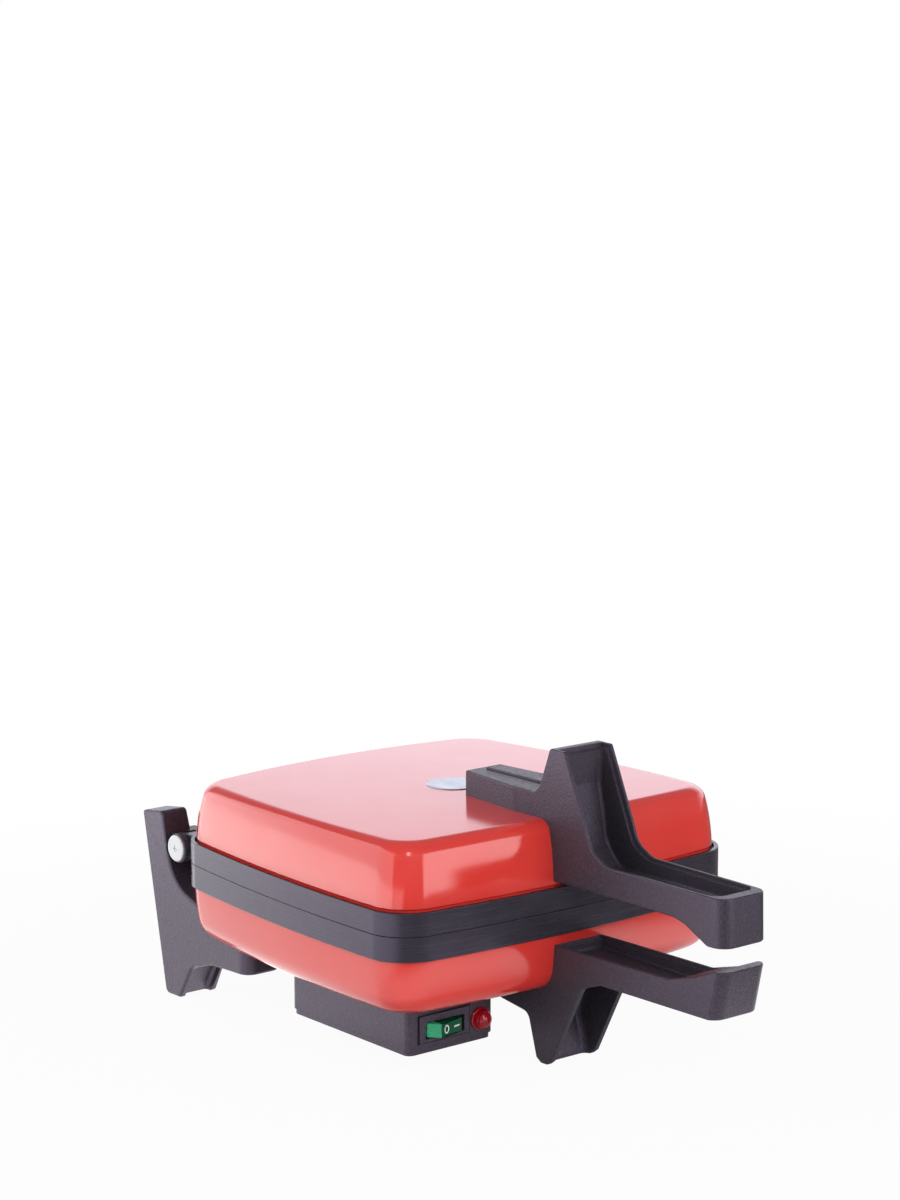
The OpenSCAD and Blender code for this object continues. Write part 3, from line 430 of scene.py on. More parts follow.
# Width at the middle of the sides, which the taper widens in front and narrows behind
BODY_W = 240
BODY_D = BELT_HIGH.y - BELT_LOW.y
BODY_Y = (BELT_LOW.y + BELT_HIGH.y) / 2
PARTING = BELT_HIGH.z + BELT_GAP
TAPER = 0.052
CORNER_R = 20
CORNER_STEPS = 14
SIDE_STEPS = 16
FRONT_BOW = 7.5
SIDE_BOW = 5.5
BELT_UP = 12.7
BELT_DOWN = 13.6
BELT_WALL = 11
LID_LEDGE = 2.9
PAN_LEDGE = 1.8
LID_TOP = 48.5
LID_FALL = 3
LID_CROWN = 1.6
PAN_BOTTOM = 46.3
LID_EDGE_R = 8
PAN_EDGE_R = 15.5
LID_DRAFT = 3.2
PAN_DRAFT = 1.6
# Share of the mean draft at the foot of a wall, which bulges a little and leans in more at its top
WALL_FOOT = 0.3
SHEET = 1.2
GROOVE = 3
GROOVE_W = 2.5
# The lid's wall rolls in above its belt, by a depth and over a height, and shades itself there
FOOT_ROLL = 1.0
FOOT_ROLL_H = 1.3
PLATE_LEDGE = 5
PLATE_LEDGE_H = 2.6
SEAT = 0.05


# Outlines and rings

def rounded(points, steps=9):
    """Outline through points (x, y, r), each rounded to its own radius r."""
    outline = []
    for i, (x, y, r) in enumerate(points):
        here = Vector((x, y))
        if not r:
            outline.append(here)
            continue
        back = (Vector(points[i - 1][:2]) - here).normalized()
        ahead = (Vector(points[(i + 1) % len(points)][:2]) - here).normalized()
        half = back.angle(ahead) / 2
        centre = here + (back + ahead).normalized() * r / math.sin(half)
        arm = here + back * r / math.tan(half) - centre
        turn = (-1 if back.cross(ahead) > 0 else 1) * (math.pi - 2 * half)
        for k in range(steps + 1):
            outline.append(centre + Matrix.Rotation(turn * k / steps, 2) @ arm)
    return outline


def mirrored(points):
    """Half outline, doubled across x = 0."""
    return points + [(-x, y, r) for x, y, r in reversed(points)]


def plan(inset):
    """Plan outline of the body, drawn in by inset: bowed sides, round corners and a taper to the rear."""
    half_x = BODY_W / 2 - SIDE_BOW - inset
    half_y = BODY_D / 2 - FRONT_BOW - inset
    radius = max(3, CORNER_R - inset * 0.5)
    ring = []
    corners = []
    for quarter in range(4):
        side_x = 1 if quarter in (0, 3) else -1
        side_y = 1 if quarter < 2 else -1
        angles = [math.radians(90 * (quarter + k / CORNER_STEPS)) for k in range(CORNER_STEPS + 1)]
        corners.append([Vector((side_x * (half_x - radius) + radius * math.cos(t),
                                side_y * (half_y - radius) + radius * math.sin(t))) for t in angles])
    for quarter in range(4):
        last, first = corners[quarter][-1], corners[(quarter + 1) % 4][0]
        ring += corners[quarter] + [last.lerp(first, k / SIDE_STEPS) for k in range(1, SIDE_STEPS)]
    bowed = [Vector((p.x * (1 + SIDE_BOW / half_x * (1 - (p.y / half_y) ** 2)),
                     p.y * (1 + FRONT_BOW / half_y * (1 - (p.x / half_x) ** 2)))) for p in ring]
    return [Vector((p.x * (1 - TAPER * p.y / (BODY_D / 2)), p.y)) for p in bowed]


def crown_drop(p):
    """Drop of the lid's crowned top at a point, towards the rear and the sides."""
    return LID_FALL * max(0, p.y / BODY_D + 0.5) ** 1.6 + LID_CROWN * (2 * p.x / BODY_W) ** 2


def level(inset, z, crowned=False):
    return [Vector((p.x, p.y, z - (crown_drop(p) if crowned else 0))) for p in plan(inset)]


def shell_rings(belt_h, top, edge_r, draft, rim_inset, crowned):
    """Rings of a drawn shell: rim, drafted wall, round edge, then in over its top."""
    rings = [level(rim_inset, belt_h - GROOVE + 0.2)]
    if crowned:
        rings = [level(rim_inset + FOOT_ROLL, h) for h in (belt_h - GROOVE + 0.2, belt_h + 0.4 * FOOT_ROLL_H)]
        rings.append(level(rim_inset + FOOT_ROLL * 0.3, belt_h + 0.7 * FOOT_ROLL_H))
        belt_h += FOOT_ROLL_H
    # The edge starts at the wall's own slant, which depends on the wall's height and so on the start
    wall_h = top - edge_r - belt_h
    for _ in range(3):
        start = math.atan(draft / wall_h * (2 - WALL_FOOT))
        wall_h = top - edge_r * (1 - math.sin(start)) - belt_h
    for k in range(7):
        rise = k / 6
        height = level(rim_inset + draft * (WALL_FOOT * rise + (1 - WALL_FOOT) * rise ** 2), belt_h + wall_h * rise)
        drop = rise ** 2 if crowned else 0
        rings.append([Vector((p.x, p.y, p.z - drop * crown_drop(p))) for p in height])
    for k in range(1, 15):
        t = start + (math.pi / 2 - start) * k / 14
        rings.append(level(rim_inset + draft + edge_r * (math.cos(start) - math.cos(t)),
                           top - edge_r * (1 - math.sin(t)), crowned))
    edge_inset = rim_inset + draft + edge_r * math.cos(start)
    rings += [level(inset, top, crowned) for inset in (edge_inset + 1, edge_inset + 5, 30, 45, 60, 75)]
    inner = plan(75)
    for share in (0.75, 0.5, 0.25, 0.08):
        shrunk = [p * share for p in inner]
        rings.append([Vector((p.x, p.y, top - (crown_drop(p) if crowned else 0))) for p in shrunk])
    return rings


def lid_rings(extra):
    return shell_rings(BELT_UP, LID_TOP - extra, LID_EDGE_R - extra, LID_DRAFT, LID_LEDGE + extra, True)


def pan_rings(extra):
    rings = shell_rings(BELT_DOWN, PAN_BOTTOM - extra, PAN_EDGE_R - extra, PAN_DRAFT, PAN_LEDGE + extra, False)
    return [[Vector((p.x, p.y, -p.z)) for p in ring] for ring in rings]


# Meshes

ROUND_SIDES = 64
SHARP_ANGLE = 38


def form(verts, faces):
    """A closed mesh with its faces pointing outwards."""
    mesh = bpy.data.meshes.new("form")
    mesh.from_pydata([tuple(v) for v in verts], [], faces)
    shape = bmesh.new()
    shape.from_mesh(mesh)
    bmesh.ops.remove_doubles(shape, verts=shape.verts, dist=0.001)
    bmesh.ops.recalc_face_normals(shape, faces=shape.faces)
    shape.to_mesh(mesh)
    shape.free()
    return mesh


def loft(rings, ends=True):
    """Faces between rings of equal length, with a cap on each end, or from the last ring to the first again."""
    n = len(rings[0])
    verts = [p for ring in rings for p in ring]
    loops = range(len(rings) - 1 if ends else len(rings))
    faces = []
    for i in loops:
        j = (i + 1) % len(rings)
        faces += [(i * n + k, i * n + (k + 1) % n, j * n + (k + 1) % n, j * n + k) for k in range(n)]
    if ends:
        faces += [list(range(n)), list(range(n * (len(rings) - 1), n * len(rings)))]
    return form(verts, faces)


def drawn_pan(outer, inner):
    """Shell of thin sheet: over the outer rings, round the rim and back under the inner rings."""
    return loft(list(reversed(outer)) + inner)


def slab(outline, low, high, along):
    """Prism of an outline: along x it is a side view in y and z, along z a plan in x and y."""
    def spot(p, h):
        return Vector((h, p.x, p.y)) if along == "x" else Vector((p.x, p.y, h))
    return loft([[spot(p, low) for p in outline], [spot(p, high) for p in outline]])


def turned(profile, centre, along):
    """Round form through (place, radius) points along an axis."""
    order = {"x": lambda a, b, h: (h, a, b), "y": lambda a, b, h: (a, h, b), "z": lambda a, b, h: (a, b, h)}[along]
    angles = [2 * math.pi * k / ROUND_SIDES for k in range(ROUND_SIDES)]
    return loft([[Vector(order(centre[0] + r * math.cos(t), centre[1] + r * math.sin(t), h)) for t in angles]
                 for h, r in profile])


def rod(radius, low, high, centre=(0, 0), along="x"):
    """Round bar between two planes."""
    return turned([(low, radius), (high, radius)], centre, along)


def evaluated(mesh, *modifiers):
    """A mesh after a row of modifiers, each a kind and its settings."""
    holder = bpy.data.objects.new("holder", mesh)
    bpy.context.scene.collection.objects.link(holder)
    for kind, settings in modifiers:
        modifier = holder.modifiers.new(kind.lower(), kind)
        for name, value in settings.items():
            setattr(modifier, name, value)
    result = bpy.data.meshes.new_from_object(holder.evaluated_get(bpy.context.evaluated_depsgraph_get()))
    bpy.data.objects.remove(holder)
    return result


def combine(operation, mesh, *others):
    """UNION, DIFFERENCE or INTERSECT of a closed mesh with others."""
    for other in others:
        tool = bpy.data.objects.new("tool", other)
        bpy.context.scene.collection.objects.link(tool)
        mesh = evaluated(mesh, ("BOOLEAN", {"object": tool, "operation": operation, "solver": "MANIFOLD"}))
        bpy.data.objects.remove(tool)
    return mesh


def clean(mesh):
    """Merges doubles and joins faces that lie in one plane."""
    shape = bmesh.new()
    shape.from_mesh(mesh)
    bmesh.ops.remove_doubles(shape, verts=shape.verts, dist=0.004)
    bmesh.ops.dissolve_limit(shape, angle_limit=math.radians(0.8), verts=shape.verts, edges=shape.edges)
    shape.to_mesh(mesh)
    shape.free()
    return mesh


def softened(mesh, radius, sharp=32, steps=3):
    """Rounds every edge sharper than an angle, as a mould's edges are."""
    settings = {"width": radius, "segments": steps, "limit_method": "ANGLE", "angle_limit": math.radians(sharp),
                "use_clamp_overlap": False, "miter_outer": "MITER_ARC"}
    return evaluated(clean(mesh), ("BEVEL", settings))


def mirror(mesh):
    """The same form on the other side of the middle."""
    copy = mesh.copy()
    copy.transform(Matrix.Scale(-1, 4, (1, 0, 0)))
    copy.flip_normals()
    return copy


def joined(*meshes):
    """Several forms in one mesh."""
    shape = bmesh.new()
    for mesh in meshes:
        shape.from_mesh(mesh)
    result = bpy.data.meshes.new("form")
    shape.to_mesh(result)
    shape.free()
    return result


def smooth(mesh, flat):
    """Smooth shading up to an angle, with large faces kept flat where the form has bevelled edges."""
    mesh.shade_smooth()
    mesh.set_sharp_from_angle(angle=math.radians(SHARP_ANGLE))
    return evaluated(mesh, ("WEIGHTED_NORMAL", {"keep_sharp": True, "weight": 80})) if flat else mesh


def piece(name, mesh, finish, body, *nodes, flat=True):
    """Places a form in the frame, dresses it, and makes it ride on a body in place of the nodes it stands for."""
    mesh = smooth(mesh, flat)
    mesh.transform(Matrix.Scale(0.001, 4) @ Matrix.Translation((0, BODY_Y, PARTING)))
    mesh.materials.clear()
    mesh.materials.append(MATERIALS[finish])
    obj = bpy.data.objects.new(name, mesh)
    bpy.context.scene.collection.objects.link(obj)
    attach(obj, body)
    if nodes:
        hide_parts(*nodes)
    return obj


# Shells and belts

BELT_SEAM = 0.14
# Open slot between the belt's lip and the shell
BELT_SLOT = 1.0


def make_shells():
    piece("lid_shell", drawn_pan(lid_rings(0), lid_rings(SHEET)), "enamel", "lid", "upper_shell", flat=False)
    piece("base_shell", drawn_pan(pan_rings(0), pan_rings(SHEET)), "enamel", "base", "lower_shell", flat=False)


def belt_profile(height, ledge):
    """Section of a belt, as inset and height: ledge and groove for the shell, and a lip for the cooking plate."""
    lip = ledge - BELT_SLOT
    return rounded([
        (0, BELT_SEAM, 0.2), (0, height, 0.4), (lip, height, 0.2), (lip, height - GROOVE, 0),
        (ledge + GROOVE_W, height - GROOVE, 0), (ledge + GROOVE_W, height, 0.3),
        (BELT_WALL + PLATE_LEDGE, height, 0.3), (BELT_WALL + PLATE_LEDGE, height - PLATE_LEDGE_H, 0),
        (BELT_WALL, height - PLATE_LEDGE_H, 0.5), (BELT_WALL, BELT_SEAM, 0.2)
    ], 4)


def belt(height, ledge, sign):
    rings = [[Vector((p.x, p.y, sign * q.y)) for p in plan(q.x)] for q in belt_profile(height, ledge)]
    return loft(rings, ends=False)


HINGE_UP = 1.2
HINGE_BACK = 123.2
PIN_R = 3
KNUCKLE_R = 8.4
LUG_IN, LUG_OUT = 87, 95.4
LUG_LOW, LUG_HIGH = 2, BELT_UP - GROOVE - SEAT
HINGE = (HINGE_BACK, HINGE_UP)


def lid_lug():
    """Arm from the upper belt round the hinge pin."""
    arm = slab([Vector(p) for p in ((BODY_D / 2 - 12, LUG_LOW), (HINGE_BACK, LUG_LOW), (HINGE_BACK, LUG_HIGH),
                                    (BODY_D / 2 - 12, LUG_HIGH))], LUG_IN, LUG_OUT, "x")
    lug = combine("UNION", rod(KNUCKLE_R, LUG_IN, LUG_OUT, HINGE), arm)
    lug = softened(lug, 0.6)
    return combine("DIFFERENCE", lug, rod(PIN_R + SEAT, LUG_IN - 1, LUG_OUT + 1, HINGE),
                   slab(plan(BELT_WALL - 2), -1, BELT_UP, "z"))


def make_belts():
    lug = lid_lug()
    upper = combine("UNION", belt(BELT_UP, LID_LEDGE, 1), lug, mirror(lug))
    piece("lid_belt", upper, "belt", "lid", "upper_belt")
    piece("base_belt", belt(BELT_DOWN, PAN_LEDGE, -1), "belt", "base", "lower_belt")


# Handles

HANDLE_HALF = 17.5
TIP_HALF = 16.3
TIP_CORNER = 8
SIDE_HALF = 20
HANDLE_WALL = 3.4
STEP = 1.3
EDGE_R = 0.9

HANDLE_SIDE = [
    (-28, 40, 0), (-28, 58, 0), (-32, 61.8, 3), (-95, 61.8, 5), (-99.5, 66, 3), (-107.6, 87.3, 1.5),
    (-119.2, 87.3, 1.5), (-136.2, 49.2, 0), (-140.8, 37.5, 12), (-152, 31.6, 14), (-242, 31.4, 0),
    (-242, 5.6, 0), (-227, 5.4, 6), (-211, 13.4, 6), (-202, 15.6, 8), (-90, 15.6, 0), (-90, 40, 0)
]
HANDLE_RECESS = [
    (-113.4, 83.6, 1), (-112.6, 66, 6), (-116.6, 48, 8), (-119, 34, 8), (-130, 21.2, 9), (-242, 20.6, 0),
    (-242, 40, 0), (-160, 60, 0), (-130, 95, 0), (-117, 95, 0)
]
HANDLE_STEP = [
    (-112.6, 84.8, 0), (-117.2, 84.8, 0), (-133.8, 47, 0), (-139.2, 35.2, 10), (-151, 29.6, 14),
    (-242, 28.6, 0), (-242, 40, 0), (-160, 60, 0), (-130, 95, 0), (-112.6, 95, 0)
]


def handle_plan(wall, reach=250, corner=1):
    """Plan of the upper handle, drawn in by a wall, up to a reach with rounded front corners."""
    return rounded(mirrored([
        (12.5 - wall, -29.5, 5), (HANDLE_HALF - wall, -78, 20), (HANDLE_HALF - wall, -136, 30),
        (TIP_HALF - wall, -reach, corner)
    ]))


def trimmed(side, outline, low, high):
    """Form with one outline from the side and another from above."""
    return combine("INTERSECT", slab(rounded(side), -SIDE_HALF, SIDE_HALF, "x"), slab(outline, low, high, "z"))


def grip_end(half_w, end_w, reach, at_z, lean):
    """Slanted prism that rounds a grip's front end: it ends at -reach at height at_z, and leans by lean."""
    outline = rounded(mirrored([(half_w + 1, -20, 0), (half_w + 1, -136, 0), (end_w, -reach, TIP_CORNER)]), 12)
    return loft([[Vector((p.x, p.y + lean * (z - at_z), z)) for p in outline] for z in (-96, 96)])


def make_upper_handle():
    handle = combine("INTERSECT", trimmed(HANDLE_SIDE, handle_plan(0), 0, 95),
                     grip_end(HANDLE_HALF, TIP_HALF, 238.5, 31.6, 0.7 / 25))
    ridge = slab([Vector(p) for p in ((-36, 60), (-36, 62.8), (-93, 62.8), (-93, 60))], -0.9, 0.9, "x")
    handle = combine("UNION", softened(handle, EDGE_R), softened(ridge, 0.3))
    recess = softened(trimmed(HANDLE_RECESS, handle_plan(HANDLE_WALL, 229.4, 5), 0, 96), 2.2, steps=5)
    step = trimmed(HANDLE_STEP, handle_plan(HANDLE_WALL - STEP, 231, 6.5), 0, 97)
    handle = combine("DIFFERENCE", handle, step, recess)
    handle = softened(handle, 0.4, sharp=50, steps=2)
    lid_space = loft([level(LID_LEDGE - SEAT, BELT_UP - 8)] + lid_rings(-SEAT))
    handle = combine("DIFFERENCE", handle, lid_space)
    piece("lid_handle", handle, "bakelite", "lid", "upper_handle")


LOWER_SIDE = [
    (-88, -19.4, 0), (-199, -17.9, 6), (-219, -12.4, 10), (-232, -6.8, 5), (-242, -6.3, 0),
    (-242, -32.8, 0), (-148, -33.4, 6), (-134, -38.5, 6), (-110.2, -84.5, 0), (-106.6, -87.3, 0),
    (-101.5, -87.3, 0), (-97.8, -85, 1.5), (-90.8, -61.6, 6), (-66, -58.4, 3), (-64, -40, 0), (-88, -40, 0)
]
LOWER_TRAY = [(-114.6, -10, 0), (-114.6, -25.6, 2), (-188, -26.2, 8), (-207, -16.6, 0), (-206, -10, 0)]
LOWER_STEP = [(-113, -10, 0), (-113, -20.8, 0), (-197, -19.7, 3), (-207, -16.8, 0), (-206, -10, 0)]
LEG_HOLLOW = [
    (-150, -36.8, 0), (-118, -36.8, 6), (-101.4, -50, 6), (-97.6, -63, 4), (-103.4, -84.8, 0),
    (-103.4, -95, 0), (-150, -95, 0)
]
LEG_RIB = 3.6


def lower_plan(wall):
    return rounded(mirrored([
        (HANDLE_HALF - wall, -60, 0), (HANDLE_HALF - wall, -130, 30),
        (TIP_HALF - wall, -241 + wall, max(1.5, 7 - wall))
    ]))


def make_lower_handle():
    handle = combine("INTERSECT", trimmed(LOWER_SIDE, lower_plan(0), -95, 0),
                     grip_end(HANDLE_HALF, TIP_HALF + 0.6, 239, -6.4, -5.6 / 25.6))
    handle = softened(handle, EDGE_R)
    hollow_half = HANDLE_HALF - LEG_RIB
    hollow = softened(slab(rounded(LEG_HOLLOW), -hollow_half, hollow_half, "x"), 4, steps=5)
    tray = softened(trimmed(LOWER_TRAY, lower_plan(HANDLE_WALL), -95, 1), 1.5, steps=4)
    step = trimmed(LOWER_STEP, lower_plan(HANDLE_WALL - STEP), -95, 2)
    handle = combine("DIFFERENCE", handle, step, tray, hollow)
    handle = softened(handle, 0.4, sharp=50, steps=2)
    handle = combine("DIFFERENCE", handle, pan_space())
    piece("base_handle_and_leg", handle, "bakelite", "base", "lower_handle")


def pan_space():
    """The lower shell as a solid, for what is seated on it."""
    rim = [Vector((p.x, p.y, -p.z)) for p in level(PAN_LEDGE - SEAT, BELT_DOWN - 8)]
    return loft([rim] + pan_rings(-SEAT))


# Rear brackets

BRACKET_OUT = 101.4
BRACKET_FOOT_W = 26
BRACKET_TOP_W = 17.5
BRACKET_IN = BRACKET_OUT - BRACKET_FOOT_W
FOOT_RIB = 3.6
EAR_IN, EAR_OUT = 76.5, 86.7

BRACKET_SIDE = [
    (136.2, 20.9, 2.5), (156.4, 18, 1.5), (135.2, -85.6, 0), (133, -87.3, 0), (120.6, -87.3, 0),
    (107.4, -65.6, 8), (88, -60.6, 10), (53, -59.4, 0), (53, -40, 0), (80, -40, 0), (100, -28.4, 0),
    (127.4, -19.5, 28)
]
FOOT_HOLLOW = [(98, -95, 0), (98, -69, 0), (104, -66.5, 3), (114.4, -68.4, 5), (127, -88.5, 0), (127, -95, 0)]
BRACKET_PLAN = [(BRACKET_OUT, 53, 8), (BRACKET_OUT, 170, 0), (BRACKET_IN, 170, 0), (BRACKET_IN, 53, 8)]


def bracket():
    """Right bracket: foot, arm under the shell, and upright with the fixed ear of the hinge."""
    upright = combine("INTERSECT", slab(rounded(BRACKET_SIDE), BRACKET_IN - 1, BRACKET_OUT + 1, "x"),
                      slab(rounded(BRACKET_PLAN), -95, 30, "z"))
    drop = PARTING + 22
    lean = (BRACKET_FOOT_W - BRACKET_TOP_W) / drop
    draft = [Vector((BRACKET_IN - 30, -PARTING - 10)), Vector((BRACKET_IN - 10 * lean, -PARTING - 10)),
             Vector((BRACKET_IN + (drop + 20) * lean, 42)), Vector((BRACKET_IN - 30, 42))]
    wedge = loft([[Vector((p.x, y, p.y)) for p in draft] for y in (40, 170)])
    upright = combine("DIFFERENCE", upright, wedge)
    upright = softened(upright, 1.6, steps=4)
    hollow = softened(slab(rounded(FOOT_HOLLOW), BRACKET_IN + FOOT_RIB, BRACKET_OUT - FOOT_RIB, "x"), 2, steps=4)
    clearance = rod(KNUCKLE_R + 0.9, EAR_OUT, BRACKET_OUT + 1, HINGE)
    upright = combine("DIFFERENCE", upright, hollow, clearance)
    root = [Vector(p) for p in ((HINGE_BACK, HINGE_UP - 7), (HINGE_BACK + 16, HINGE_UP - 7),
                                (HINGE_BACK + 16, HINGE_UP + 7), (HINGE_BACK, HINGE_UP + 7))]
    ear = combine("UNION", rod(KNUCKLE_R, EAR_IN, EAR_OUT, HINGE), slab(root, EAR_IN, EAR_OUT, "x"))
    upright = combine("UNION", upright, ear)
    belt_space = slab(plan(-0.3), -BELT_DOWN - 0.3, -BELT_GAP, "z")
    pin_bore = rod(PIN_R + SEAT, EAR_IN - 1, EAR_OUT + 1, HINGE)
    return combine("DIFFERENCE", upright, pin_bore, pan_space(), belt_space)


def make_brackets():
    right = bracket()
    left = mirror(right)
    piece("bracket_right", right, "bakelite", "base", "rear_bracket_right")
    piece("bracket_left", left, "bakelite", "base", "rear_bracket_left")


# Hinge knobs

KNOB_R = 8.6
KNOB_IN, KNOB_OUT = 95.7, 99.9
KNOB_RIBS = 40
CAP_R = 7.6


def ribs_tree():
    """Geometry Nodes tree: bars set round a circle, along its axis."""
    tree = bpy.data.node_groups.new("knob ribs", "GeometryNodeTree")
    for name, kind in (("Count", "Int"), ("Radius", "Float"), ("Length", "Float"), ("Width", "Float"),
                       ("Finish", "Material")):
        tree.interface.new_socket(name, in_out="INPUT", socket_type=f"NodeSocket{kind}")
    tree.interface.new_socket("Geometry", in_out="OUTPUT", socket_type="NodeSocketGeometry")
    given = add(tree, "NodeGroupInput").outputs
    circle = add(tree, "GeometryNodeMeshCircle", {"Vertices": given["Count"], "Radius": given["Radius"]})
    size = add(tree, "ShaderNodeCombineXYZ", {"X": given["Width"], "Y": given["Width"], "Z": given["Length"]})
    bar = add(tree, "GeometryNodeMeshCube", {"Size": size.outputs[0]})
    where = add(tree, "GeometryNodeInputPosition").outputs[0]
    turn = add(tree, "FunctionNodeAlignRotationToVector", {"Vector": where}, axis="X")
    set_out = add(tree, "GeometryNodeInstanceOnPoints",
                  {"Points": circle.outputs[0], "Instance": bar.outputs[0], "Rotation": turn.outputs[0]})
    real = add(tree, "GeometryNodeRealizeInstances", {0: set_out.outputs[0]})
    dressed = add(tree, "GeometryNodeSetMaterial", {0: real.outputs[0], "Material": given["Finish"]})
    add(tree, "NodeGroupOutput", {0: dressed.outputs[0]})
    return tree


def grown(tree, **values):
    """Mesh that a Geometry Nodes tree makes from its named inputs."""
    holder = bpy.data.objects.new("holder", bpy.data.meshes.new("empty"))
    bpy.context.scene.collection.objects.link(holder)
    modifier = holder.modifiers.new("tree", "NODES")
    modifier.node_group = tree
    for item in tree.interface.items_tree:
        if item.in_out == "INPUT" and item.name in values:
            modifier[item.identifier] = values[item.name]
    mesh = bpy.data.meshes.new_from_object(holder.evaluated_get(bpy.context.evaluated_depsgraph_get()))
    bpy.data.objects.remove(holder)
    return mesh


def make_knobs():
    """Ribbed knobs on the hinge pins, with pale caps that have a small cross recess."""
    core_r = KNOB_R - 0.55
    core = turned([(KNOB_IN, 3.1), (KNOB_IN, core_r - 0.4), (KNOB_IN + 0.4, core_r), (KNOB_OUT - 0.3, core_r),
                   (KNOB_OUT, core_r - 0.3)], HINGE, "x")
    length = KNOB_OUT - KNOB_IN - 0.7
    ribs = grown(ribs_tree(), Count=KNOB_RIBS, Radius=core_r + 0.1, Length=length, Width=0.75,
                 Finish=MATERIALS["knob"])
    ribs.transform(Matrix.Translation(((KNOB_IN + KNOB_OUT) / 2, *HINGE)) @ Matrix.Rotation(math.pi / 2, 4, "Y"))
    knob = joined(core, ribs)
    piece("hinge_knob_pair", joined(knob, mirror(knob)), "knob", "base", "hinge_knobs")
    cap = turned([(KNOB_OUT, CAP_R - 0.2), (KNOB_OUT + 0.2, CAP_R), (KNOB_OUT + 0.9, CAP_R),
                  (KNOB_OUT + 1.3, CAP_R - 0.35), (KNOB_OUT + 1.5, CAP_R - 1), (KNOB_OUT + 1.5, 0.5)], HINGE, "x")
    for long_y, long_z in ((1.9, 0.4), (0.4, 1.9)):
        y, z = HINGE
        slot = [Vector((y + a * long_y, z + b * long_z)) for a, b in ((-1, -1), (1, -1), (1, 1), (-1, 1))]
        cap = combine("DIFFERENCE", cap, slab(slot, KNOB_OUT + 0.5, KNOB_OUT + 3, "x"))
    piece("hinge_cap_pair", joined(cap, mirror(cap)), "white", "base", "hinge_caps")


# Control box with its switch and lamp

BOX_LEFT = 94.2
BOX_W = 58.9
BOX_FRONT = 83.5
BOX_LEN = 104
BOX_BOTTOM = 72.8
BOX_WALL = 2.4
BOX_CORNER = 4
COVER_T = 2.6
SWITCH_X = 24.8 - BOX_LEFT
SWITCH_Z = -60.8
SWITCH_W, SWITCH_H = 34.2, 15.1
SWITCH_RISE = 0.95
RECESS_WIDE, RECESS_HIGH, RECESS_END, RECESS_DEPTH = 1.8, 1.1, 0.2, 1.2
WELL_X, WELL_Z = 13.3, 4.6
ROCKER_H = 7.6
ROCKER_TILT = 12
PIVOT_BACK = 4
MARK_FRONT = -7.95
LAMP_X = 49 - BOX_LEFT
LAMP_Z = -61
LAMP_HOLE_R = 4.6
CORD_X = BOX_W / 2 - BOX_LEFT
CORD_Z = -60
CORD_HOLE_R = 5.5
# Height inside the lower shell's space, which cuts the box's top to the shell
BOX_TOP = 14 - PAN_BOTTOM


def box_outline(near, far):
    x0, x1 = near - BOX_LEFT, BOX_W - BOX_LEFT - far
    y0, y1 = near - BOX_FRONT, BOX_LEN - BOX_FRONT - far
    r = max(0.5, BOX_CORNER - near)
    return rounded([(x0, y0, r), (x1, y0, r), (x1, y1, r), (x0, y1, r)])


def block(x0, x1, y0, y1, z0, z1):
    return slab([Vector(p) for p in ((x0, y0), (x1, y0), (x1, y1), (x0, y1))], z0, z1, "z")


def make_control_box():
    box = softened(slab(box_outline(0, 0), -BOX_BOTTOM, BOX_TOP, "z"), 0.4, sharp=60)
    frame_low = SWITCH_Z + SWITCH_RISE - SWITCH_H / 2
    opening = block(SWITCH_X - SWITCH_W / 2 + 1.2, SWITCH_X + SWITCH_W / 2 - 1.2, -BOX_FRONT - 2,
                    -BOX_FRONT + BOX_WALL + 2, frame_low + 0.85, frame_low + SWITCH_H - 0.85)
    recess = block(SWITCH_X - SWITCH_W / 2 - RECESS_WIDE, SWITCH_X + SWITCH_W / 2 + RECESS_END, -BOX_FRONT - 1,
                   -BOX_FRONT + RECESS_DEPTH, frame_low - RECESS_END, frame_low + SWITCH_H + RECESS_HIGH)
    box = combine("DIFFERENCE", box, slab(box_outline(BOX_WALL, BOX_WALL), -BOX_BOTTOM, BOX_TOP + 6, "z"),
                  slab(box_outline(-1, -1), -BOX_BOTTOM - 1, COVER_T - BOX_BOTTOM, "z"),
                  pan_space(), opening, softened(recess, 0.4),
                  rod(LAMP_HOLE_R, -BOX_FRONT - 1, BOX_WALL - BOX_FRONT + 1, (LAMP_X, LAMP_Z), "y"),
                  rod(CORD_HOLE_R, BOX_LEN - BOX_FRONT - BOX_WALL - 1, BOX_LEN - BOX_FRONT + 1,
                      (CORD_X, CORD_Z), "y"))
    piece("control_housing", box, "bakelite", "base", "control_box")
    frame_z = SWITCH_Z + SWITCH_RISE
    rim = block(SWITCH_X - SWITCH_W / 2, SWITCH_X + SWITCH_W / 2, -BOX_FRONT - 0.4,
                -BOX_FRONT + RECESS_DEPTH - SEAT, frame_z - SWITCH_H / 2, frame_z + SWITCH_H / 2)
    body = block(SWITCH_X - SWITCH_W / 2 + 1.3, SWITCH_X + SWITCH_W / 2 - 1.3, -BOX_FRONT + 0.7, -BOX_FRONT + 16.7,
                 frame_z - SWITCH_H / 2 + 0.95, frame_z + SWITCH_H / 2 - 0.95)
    well = block(SWITCH_X - WELL_X, SWITCH_X + WELL_X, -BOX_FRONT - 2, -BOX_FRONT + 12.6,
                 SWITCH_Z - WELL_Z, SWITCH_Z + WELL_Z)
    housing = combine("DIFFERENCE", combine("UNION", softened(rim, 0.5), body), softened(well, 0.35))
    piece("switch_frame", housing, "bakelite", "base", "switch_housing")


ROCKER_OUTLINE = [
    (-8.2, -8, 0.8), (0, -7.2, 90), (8.2, -8, 0.8), (12.2, -1, 0.5), (11.6, 1.4, 0), (5, 3.4, 0),
    (-5, 3.4, 0), (-11.6, 1.4, 0), (-12.2, -1, 0.5)
]


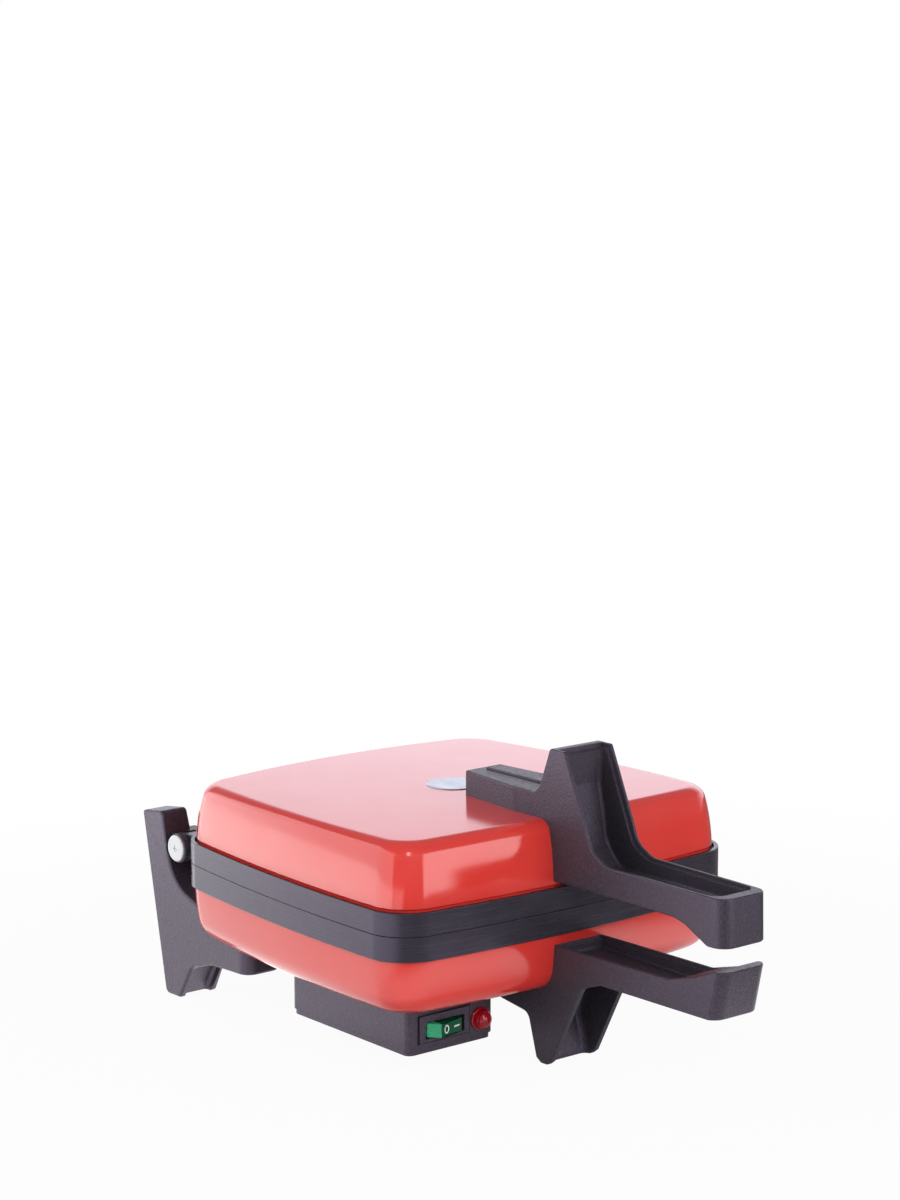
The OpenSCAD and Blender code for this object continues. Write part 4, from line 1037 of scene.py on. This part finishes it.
def at_rocker(mesh):
    """Turns and moves a form drawn round the rocker's pivot to its place, left end out."""
    mesh.transform(Matrix.Translation((SWITCH_X, PIVOT_BACK - BOX_FRONT, SWITCH_Z))
                   @ Matrix.Rotation(math.radians(ROCKER_TILT), 4, "Z"))
    return mesh


def make_rocker():
    """Rocker with slanted ends, and the plain round and bar marks of an off and on switch."""
    rocker = softened(slab(rounded(ROCKER_OUTLINE), -ROCKER_H / 2, ROCKER_H / 2, "z"), 0.35, sharp=40)
    piece("power_rocker", at_rocker(rocker), "green", "rocker", "switch_rocker")
    ring = combine("DIFFERENCE", rod(2.35, -7.9, -7, (0, 0), "y"), rod(1.65, -9, -6, (0, 0), "y"))
    ring.transform(Matrix.Translation((-3.9, 0, 0)) @ Matrix.Diagonal((0.8, 1, 1, 1)))
    bar = block(2.5, 6.9, MARK_FRONT, MARK_FRONT + 0.95, -0.38, 0.38)
    piece("rocker_marks", at_rocker(joined(ring, bar)), "mark", "rocker")


def make_lamp():
    """Pilot lens in steps: a flange, a drum and a dome."""
    steps = [(5, 4.45), (-0.05, 4.45), (-0.05, 6.2), (-0.4, 6.4), (-1.0, 6.4), (-1.3, 6.1), (-1.35, 5.7),
             (-3.9, 4.9), (-4.3, 4.6), (-4.3, 4.3)]
    dome = [(1.2 - 7.6 * math.cos(t), 7.6 * math.sin(t))
            for t in (math.radians(34 - 33.5 * k / 8) for k in range(9))]
    profile = [(h - BOX_FRONT, r) for h, r in steps + [p for p in dome if p[0] < -4.35]]
    lens = turned(profile, (LAMP_X, LAMP_Z), "y")
    lens = combine("DIFFERENCE", lens, rod(3.2, -BOX_FRONT - 1, -BOX_FRONT + 6, (LAMP_X, LAMP_Z), "y"))
    piece("pilot_lens", lens, "red_lens", "base", "lamp_lens")


# Plain bright disc in the middle of the lid

DISC_AT = (0, -6.3)
DISC_R = 15.5
DISC_T = 0.5


def make_disc():
    """Thin disc that lies on the crowned lid, with a rolled edge."""
    rings = []
    for radius, rise in ((DISC_R, -0.1), (DISC_R, DISC_T * 0.5), (DISC_R - 0.3, DISC_T), (10, DISC_T), (5, DISC_T),
                         (0.5, DISC_T)):
        ring = [Vector((DISC_AT[0] + radius * math.cos(t), DISC_AT[1] + radius * math.sin(t)))
                for t in (2 * math.pi * k / 72 for k in range(72))]
        rings.append([Vector((p.x, p.y, LID_TOP - crown_drop(p) + rise)) for p in ring])
    piece("lid_disc", loft(rings), "disc", "lid")


make_camera()
make_world()
make_floor()
for row in PANELS:
    panel(*row)
finish_nodes()
make_shells()
make_belts()
make_upper_handle()
make_lower_handle()
make_brackets()
make_knobs()
make_control_box()
make_rocker()
make_lamp()
make_disc()

bpy.context.scene.view_settings.view_transform = "Standard"
